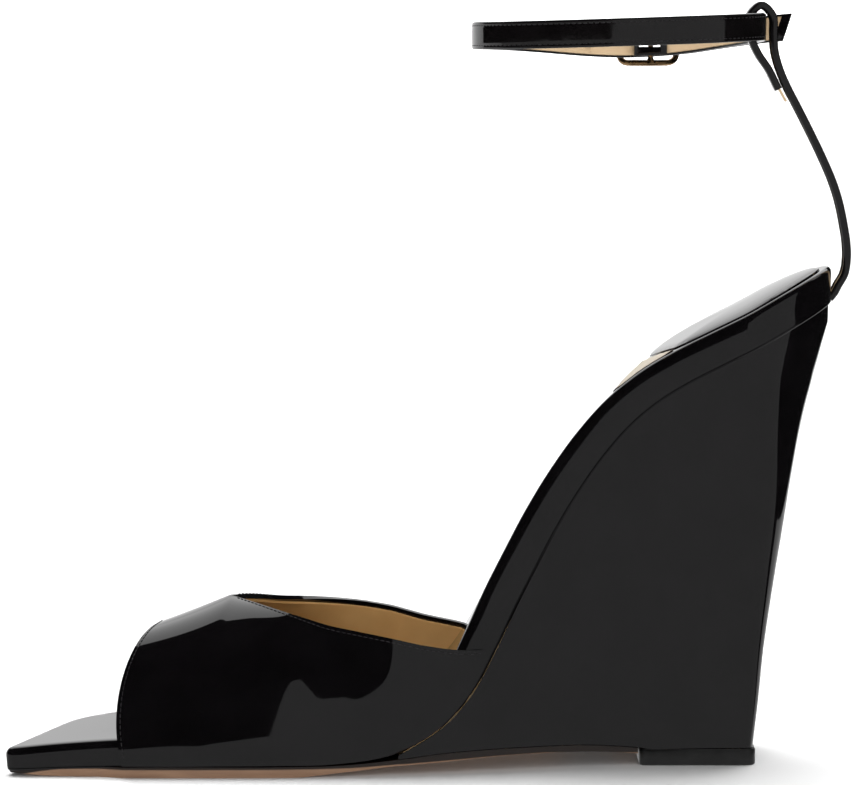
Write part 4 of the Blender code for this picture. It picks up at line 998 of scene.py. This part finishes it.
def vamp_skin(set_back=0.0):
    """Points, normals and faces of both sides of the vamp, joined on the ridge."""
    bm = bmesh.new()
    for side, flip in (("inner", False), ("outer", True)):
        grid = vamp_patch(side, set_back)
        verts = [[bm.verts.new(point) for point in row] for row in grid]
        for r in range(len(verts) - 1):
            for c in range(len(verts[0]) - 1):
                quad = [verts[r][c], verts[r][c + 1], verts[r + 1][c + 1], verts[r + 1][c]]
                bm.faces.new(quad[::-1] if flip else quad)
    bmesh.ops.remove_doubles(bm, verts=bm.verts, dist=1e-4)
    bm.normal_update()
    bm.verts.index_update()
    points = np.array([vertex.co for vertex in bm.verts])
    normals = np.array([vertex.normal for vertex in bm.verts])
    faces = [[vertex.index for vertex in face.verts] for face in bm.faces]
    bm.free()
    return points, normals, faces


def make_vamp(patent, lining, thread_look):
    points, normals, faces = vamp_skin()
    outer = piece("vamp_leather", *shell(points, points - normals * VAMP_EDGE, faces), patent, "shoe",
                  "patent_leather", ("vamp_outer",))
    soften(outer, 0.4, 3)
    points, normals, faces = vamp_skin(VAMP_FOLD)
    inner_depth = VAMP_EDGE + 0.05
    inner = piece("vamp_lining_leather",
                  *shell(points - normals * inner_depth, points - normals * (inner_depth + LINING), faces),
                  lining, "shoe", "tan_leather", ("vamp_lining",))
    soften(inner, 0.2)
    make_vamp_stitching(thread_look)


def inside_edge(grid, normals, distance):
    """Line this far inside the last row of a grid, measured along its columns, with its normals."""
    spots, ups = [], []
    for column in range(grid.shape[1]):
        path = grid[::-1, column]
        table = with_lengths(path)
        spots.append([np.interp(distance, table[:, 0], path[:, i]) for i in range(3)])
        ups.append([np.interp(distance, table[:, 0], normals[::-1, column, i]) for i in range(3)])
    return np.array(spots), np.array(ups)


def make_vamp_stitching(look):
    rows = []
    fronts = []
    for side in ("inner", "outer"):
        grid = vamp_patch(side)
        normals = vamp_normals(grid, side)
        throat = int(round(VAMP_THROAT * VAMP_LENGTH_STEPS)) + 2
        rows.append(stitch_row(*inside_edge(grid[:, throat:-1], normals[:, throat:-1], EDGE_TO_STITCH)))
        turned = grid[1:, ::-1].transpose(1, 0, 2)
        turned_normals = normals[1:, ::-1].transpose(1, 0, 2)
        fronts.append(inside_edge(turned, turned_normals, EDGE_TO_STITCH))
    (inner_line, inner_ups), (outer_line, outer_ups) = fronts
    front = np.vstack((inner_line, outer_line[::-1][1:]))
    rows.append(stitch_row(front, np.vstack((inner_ups, outer_ups[::-1][1:]))))
    piece("vamp_stitching", *merge(rows), look, "shoe")


# ---------------------------------------------------------------- riser strap

def riser_centres(steps=150):
    table = with_lengths(RISER_ROOT + RISER_PATH)
    flat = curve(table, np.linspace(0, table[-1, 0], steps))
    return np.column_stack((flat[:, 0], np.zeros(len(flat)), flat[:, 1]))


def riser_piece(name, vertices, faces, look, slot=None, replaces=()):
    """Piece of the riser, running up from its foot in the heel seam, with its placing baked into its points and
    put on no body.
    """
    made = piece(name, vertices, faces, look, None, slot, replaces)
    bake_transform(made)
    return made


def make_riser(patent, lining, thread_look):
    centres = riser_centres()
    normals = -np.cross(directions(centres), (0, 1, 0))
    acrosses = np.tile((0.0, 1.0, 0.0), (len(centres), 1))
    covered = from_end(centres) > RISER_BARE_END
    frames = centres[covered], acrosses[covered], normals[covered]
    riser_piece("riser_leather", *sweep(*frames, turned_section(RISER_WIDTH, 0.06)), patent, "patent_leather",
                ("riser_strap",))
    inner = lining_section(RISER_WIDTH, -0.5)
    riser_piece("riser_lining_leather", *sweep(centres, acrosses, normals, inner), lining, "tan_leather",
                ("riser_lining",))
    riser_piece("riser_stitching", *strap_stitches(*frames, RISER_WIDTH), thread_look)


def make_riser_root(look):
    """Riser's hidden end, lying on the wedge under the insole."""
    end_u = HEEL_CENTRE_U + HEEL_REACH
    stations = np.linspace(end_u - 14.0, end_u - 2.5, 8)
    top = -INSOLE_THICKNESS[-1][1] - GAP
    centres = bend(stations, 0, top - 0.8)
    normals = np.cross((0, 1, 0), directions(centres)) * -1.0
    acrosses = np.tile((0.0, 1.0, 0.0), (len(centres), 1))
    solid = sweep(centres, acrosses, normals, strap_section(RISER_WIDTH, -0.75, 0.75))
    piece("riser_root", *solid, look, "shoe", "patent_leather", ("riser_anchor",))


# ---------------------------------------------------------------- ankle strap and buckle

def strap_plan(angle):
    """Centre of the strap in plan, as a superellipse; angle 0 is the back, 90 the outer side."""
    c, s = math.cos(angle), math.sin(angle)
    power = 2 / STRAP_SQUARENESS
    x = STRAP_CENTRE[0] + STRAP_RADII[0] * math.copysign(abs(c) ** power, c)
    y = STRAP_CENTRE[1] + STRAP_RADII[1] * math.copysign(abs(s) ** power, s)
    return x, y


def strap_height(x, y):
    """The strap rises to the back, and sags on the outer side under the buckle."""
    outer_share = np.clip((np.asarray(y) / STRAP_RADII[1] + 0.3) / 1.3, 0, 1)
    return STRAP_HEIGHT + STRAP_RISE * x - STRAP_SAG * np.exp(-(((x - 54) / 32) ** 2)) * outer_share


LOOP = with_lengths([strap_plan(BUCKLE_ANGLE - turn) for turn in np.linspace(0, math.tau, 361)])
LOOP_LENGTH = LOOP[-1, 0]


def strap_route():
    """Plan points of the strap's centre, from the bar round to the tip of the tail."""
    start = np.arange(STRAP_END_AT, LOOP_LENGTH - 8, 1.3)
    ramp_stations = np.linspace(LOOP_LENGTH - 7.5, LOOP_LENGTH + TAIL_START, 24)
    stations = np.concatenate((start, ramp_stations))
    wrapped = np.where(stations > LOOP_LENGTH, stations - LOOP_LENGTH, stations)
    points = curve(LOOP, wrapped)
    ahead = curve(LOOP, wrapped + 0.4) - curve(LOOP, np.maximum(wrapped - 0.4, 0))
    tangents = ahead / np.linalg.norm(ahead, axis=1, keepdims=True)
    outward = np.column_stack((-tangents[:, 1], tangents[:, 0]))
    share = np.clip((stations - (LOOP_LENGTH - 8)) / 7.5, 0, 1)
    points = points + outward * (BILLET_OFFSET * (3 - 2 * share) * share ** 2)[:, None]
    reach = np.append(np.linspace(1.5, TAIL_LENGTH - TIP_FOLD, 16), TAIL_LENGTH - np.array((1.8, 0.9, 0)))
    tail = points[-1] + np.outer(reach, tangents[-1])
    return np.vstack((points, tail))


def strap_frames():
    flat = strap_route()
    centres = np.column_stack((flat, strap_height(flat[:, 0], flat[:, 1])))
    tangents = directions(centres)
    normals = np.column_stack((-tangents[:, 1], tangents[:, 0], np.zeros(len(flat))))
    normals /= np.linalg.norm(normals, axis=1, keepdims=True)
    lean = TIP_SLANT * np.clip((8 - from_end(centres)) / 4, 0, 1)
    return centres, np.array((0.0, 0.0, 1.0)) + lean[:, None] * tangents, normals


def buckle_axes():
    """Origin on the bar, and matrix whose columns are along, outward and up."""
    x, y = strap_plan(BUCKLE_ANGLE)
    ahead = curve(LOOP, 1.0) - curve(LOOP, 0.0)
    along = Vector((ahead[0], ahead[1], 0)).normalized()
    outward = Vector((-along.y, along.x, 0))
    return Vector((x, y, float(strap_height(x, y)))), Matrix((along, outward, Vector((0, 0, 1)))).transposed()


def to_world(points):
    origin, axes = buckle_axes()
    return [tuple(origin + axes @ Vector(point)) for point in points]


def slot_and_holes():
    """Openings of the billet: the slit for the prong and the spare punched holes."""
    low, high = SLOT_REACH
    half = SLOT_HEIGHT / 2
    ends = arc((low + half, 0), (half, half), 90, 270, 8) + arc((high - half, 0), (half, half), -90, 90, 8)
    solids = [loft([to_world([(a, o, h) for a, h in ends]) for o in (0.5, 6.0)])]
    centres, _, normals = strap_frames()
    lengths = with_lengths(centres)[:, 0] - (LOOP_LENGTH - STRAP_END_AT)
    for place in PUNCH_HOLES:
        centre = np.array([np.interp(place, lengths, centres[:, i]) for i in range(3)])
        normal = np.array([np.interp(place, lengths, normals[:, i]) for i in range(3)])
        solids.append(tube([centre - normal * 1.6, centre, centre + normal * 1.6], 0.9, sides=24))
    return merge(solids)


def make_ankle_strap(patent, lining, thread_look):
    """Patent strap turned over its lining, which stops short of the folded tip."""
    frames = np.array(strap_frames())
    from_tip = from_end(frames[0])
    lined = from_tip >= TIP_FOLD - 0.1
    folded = from_tip <= TIP_FOLD + 0.1
    fold = strap_section(STRAP_WIDTH - 2 * STRAP_LIP + 0.1, -0.01 - STRAP_TOP, LEATHER_UNDERSIDE + 0.05)
    leather = piece("ankle_strap_leather", *sweep(*frames, turned_section(STRAP_WIDTH, 0.05)), patent,
                    "ankle_strap", "patent_leather", ("ankle_strap_outer",))
    inner = sweep(*frames[:, lined], lining_section(STRAP_WIDTH, 0.08 - STRAP_TOP))
    inside = piece("ankle_strap_lining_leather", *inner, lining, "ankle_strap", "tan_leather",
                   ("ankle_strap_lining",))
    for made in (leather, inside):
        cut(made, *slot_and_holes())
    piece("ankle_strap_tip_fold", *sweep(*frames[:, folded], fold), patent, "ankle_strap")
    piece("ankle_strap_stitching", *strap_stitches(*frames, STRAP_WIDTH), thread_look, "ankle_strap")


def beside_strap(distance, outward):
    """Point beside the strap's centre line, a distance behind the bar."""
    here = curve(LOOP, distance)
    ahead = curve(LOOP, distance + 0.4) - curve(LOOP, distance - 0.4)
    ahead /= np.linalg.norm(ahead)
    x, y = here + outward * np.array((-ahead[1], ahead[0]))
    return (x, y, float(strap_height(x, y)))


def make_chape(look):
    """Leather folded round the bar, its two legs either side of the strap's end."""
    middle = CHAPE_INNER + CHAPE_THICKNESS / 2
    reach = np.arange(CHAPE_LENGTH, 1, -0.8)
    legs = [(a, middle) for a in reach] + list(CHAPE_FOLD) + [(a, -middle) for a in reach[::-1]]
    centres = np.array([beside_strap(a, o) if a > 0.5 else to_world([(a, o, 0)])[0] for a, o in legs])
    normals = np.cross((0, 0, 1), directions(centres))
    acrosses = np.tile((0.0, 0.0, 1.0), (len(legs), 1))
    half = CHAPE_THICKNESS / 2
    section = strap_section(STRAP_WIDTH - 0.4, -half, half)
    made = piece("chape_leather", *sweep(centres, acrosses, normals, section), look, "ankle_strap",
                 "patent_leather", ("buckle_chape",))
    eye = PRONG_RADIUS + 0.35
    corners = ((-3.0, -2.4), (2.7, -2.4), (2.7, 2.4), (-3.0, 2.4))
    cut(made, *loft([to_world([(a, o, h) for a, o in corners]) for h in (-eye, eye)]))


def frame_path():
    """Closed centre line of the buckle frame: a rounded rectangle, bowed outward at both ends."""
    corners = ((FRAME_FRONT, -1), (FRAME_BACK, -1), (FRAME_BACK, 1), (FRAME_FRONT, 1))
    spots = [(a, side * FRAME_HALF_HEIGHT) for a, side in corners]
    flat = []
    for i in range(4):
        flat += fillet(spots[i - 1], spots[i], spots[(i + 1) % 4], FRAME_CORNER, 10)
        if i % 2 == 0:
            stations = np.linspace(FRAME_FRONT + 3.4, FRAME_BACK - 3.4, 9)
            flat += [(a, spots[i][1]) for a in (stations if i == 0 else stations[::-1])]
    c0, c1, c2 = FRAME_BOW
    return to_world([(a, c0 + c1 * a + c2 * a * a, h) for a, h in flat])


def make_buckle(look):
    ring = tube(frame_path(), WIRE_RADIUS, closed=True)
    made = piece("buckle_ring", *ring, look, "buckle", "old_gold_metal", ("buckle_frame",))
    heights = np.linspace(-FRAME_HALF_HEIGHT, FRAME_HALF_HEIGHT, 33)
    radii = np.interp(np.abs(heights), (3.6, FRAME_HALF_HEIGHT), (BAR_RADIUS, BAR_END_RADIUS))
    cut(made, *tube(to_world([(0, 0, h) for h in heights]), radii), operation="UNION")
    eye = BAR_RADIUS + 0.15 + PRONG_RADIUS
    turn = [(eye * math.cos(a), eye * math.sin(a), 0) for a in np.radians(np.arange(-205, 96, 10))]
    front = FRAME_BOW[0] + FRAME_BOW[1] * FRAME_FRONT + FRAME_BOW[2] * FRAME_FRONT ** 2
    rest = front + WIRE_RADIUS + PRONG_RADIUS + 0.12
    arm = [(-2.2, 1.75, 0), (-5.0, 2.9, 0), (FRAME_FRONT, rest, 0), (FRAME_FRONT - 1.0, rest + 0.1, 0)]
    table = with_lengths(to_world([turn[-1]] + arm))
    smooth = curve(table, np.linspace(1.0, table[-1, 0], 24))
    path = to_world(turn) + [tuple(point) for point in smooth]
    radii = np.full(len(path), PRONG_RADIUS)
    radii[-4:] *= (0.97, 0.9, 0.75, 0.45)
    piece("buckle_pin", *tube(path, radii), look, "prong", "old_gold_metal", ("buckle_prong",))


# ---------------------------------------------------------------- pieces inside

def dress_inner_nodes(patent):
    """Materials of the CAD nodes that stay."""
    looks = inner_materials()
    looks["patent_leather"] = patent
    for row in frame["record"]["subparts"]:
        made = frame["nodes"][row["node"]]
        if not made.hide_render:
            made.data.materials.clear()
            made.data.materials.append(looks[row["material_slot"]])


# ---------------------------------------------------------------- studio

def stage_plane(name, corners, colour, emission, camera=False, glossy=False, diffuse=False):
    """Flat card of the studio, from four corners in metres, seen only by the rays named."""
    mesh = bpy.data.meshes.new(name)
    mesh.from_pydata(corners, [], [tuple(range(len(corners)))])
    made = bpy.data.objects.new(name, mesh)
    bpy.context.collection.objects.link(made)
    look = bpy.data.materials.new(name)
    look.use_nodes = True
    shader = look.node_tree.nodes["Principled BSDF"]
    shader.inputs["Base Color"].default_value = (*colour, 1)
    shader.inputs["Roughness"].default_value = 0.9
    shader.inputs["Specular IOR Level"].default_value = 0.0
    shader.inputs["Emission Color"].default_value = (1, 1, 1, 1)
    shader.inputs["Emission Strength"].default_value = emission
    mesh.materials.append(look)
    made.visible_camera = camera
    made.visible_glossy = glossy
    made.visible_diffuse = diffuse
    made.visible_transmission = False
    made.visible_shadow = camera and diffuse
    return made


def make_studio():
    """White floor and backdrop, reflection cards for the patent, and soft light without hot spots."""
    wide = ROOM_HALF_SIZE
    stage_plane("floor", [(-wide, -wide, 0), (wide, -wide, 0), (wide, wide, 0), (-wide, wide, 0)],
                (0.85, 0.85, 0.85), 0.02, camera=True, diffuse=True)
    reach = wide * 0.98 * math.sqrt(2)
    for i in range(4):
        feet = [(reach * math.cos(t), reach * math.sin(t)) for t in np.radians((45 + 90 * i, 135 + 90 * i))]
        corners = [(*feet[0], 0), (*feet[1], 0), (*feet[1], ROOM_HEIGHT), (*feet[0], ROOM_HEIGHT)]
        stage_plane(f"backdrop_{i}", corners, (0.9, 0.9, 0.9), 1.0, camera=True)
    for name, corners, emission in CARDS:
        stage_plane(name, corners, (0, 0, 0), emission, glossy=True)
    for name, turn, strength, spread in SUNS:
        light = bpy.data.lights.new(name, "SUN")
        light.energy = strength
        light.angle = math.radians(spread)
        made = bpy.data.objects.new(name, light)
        made.rotation_euler = [math.radians(t) for t in turn]
        made.visible_glossy = False
        bpy.context.collection.objects.link(made)
    world = bpy.data.worlds.new("studio")
    world.use_nodes = True
    world.node_tree.nodes["Background"].inputs["Color"].default_value = (0.01, 0.01, 0.01, 1)
    bpy.context.scene.world = world
    bpy.context.scene.view_settings.view_transform = "Standard"


def make_camera():
    camera = bpy.data.cameras.new("camera")
    camera.lens = CAMERA_LENS
    camera.sensor_width = 36
    camera.clip_start = 0.05
    camera.clip_end = 60
    made = bpy.data.objects.new("camera", camera)
    made.location = (np.array(CAMERA_AT) + SHIFT) * MM
    made.rotation_euler = (math.radians(90 - CAMERA_TILT), 0, 0)
    bpy.context.collection.objects.link(made)
    bpy.context.scene.camera = made


# ---------------------------------------------------------------- assembly

def main():
    patent = patent_leather()
    thin_patent = strap_patent()
    tan = lining_leather("tan_lining", (0.74, 0.4, 0.14), (0.86, 0.5, 0.19))
    strap_tan = lining_leather("strap_lining", (0.6, 0.42, 0.24), (0.7, 0.52, 0.32))
    cream = lining_leather("sock_leather", (0.4, 0.35, 0.27), (0.49, 0.43, 0.35))
    black_thread = thread()
    gold = old_gold()
    make_footbed(patent)
    make_welt(patent)
    make_heel_pad(patent)
    make_sock_insert(cream, edge_ink())
    make_outsole(sole_leather())
    make_wedge(patent)
    make_top_lift(lift_rubber())
    make_vamp(patent, tan, black_thread)
    make_riser(thin_patent, strap_tan, black_thread)
    make_riser_root(thin_patent)
    make_ankle_strap(thin_patent, strap_tan, black_thread)
    make_chape(thin_patent)
    make_buckle(gold)
    dress_inner_nodes(patent)
    make_studio()
    make_camera()


main()
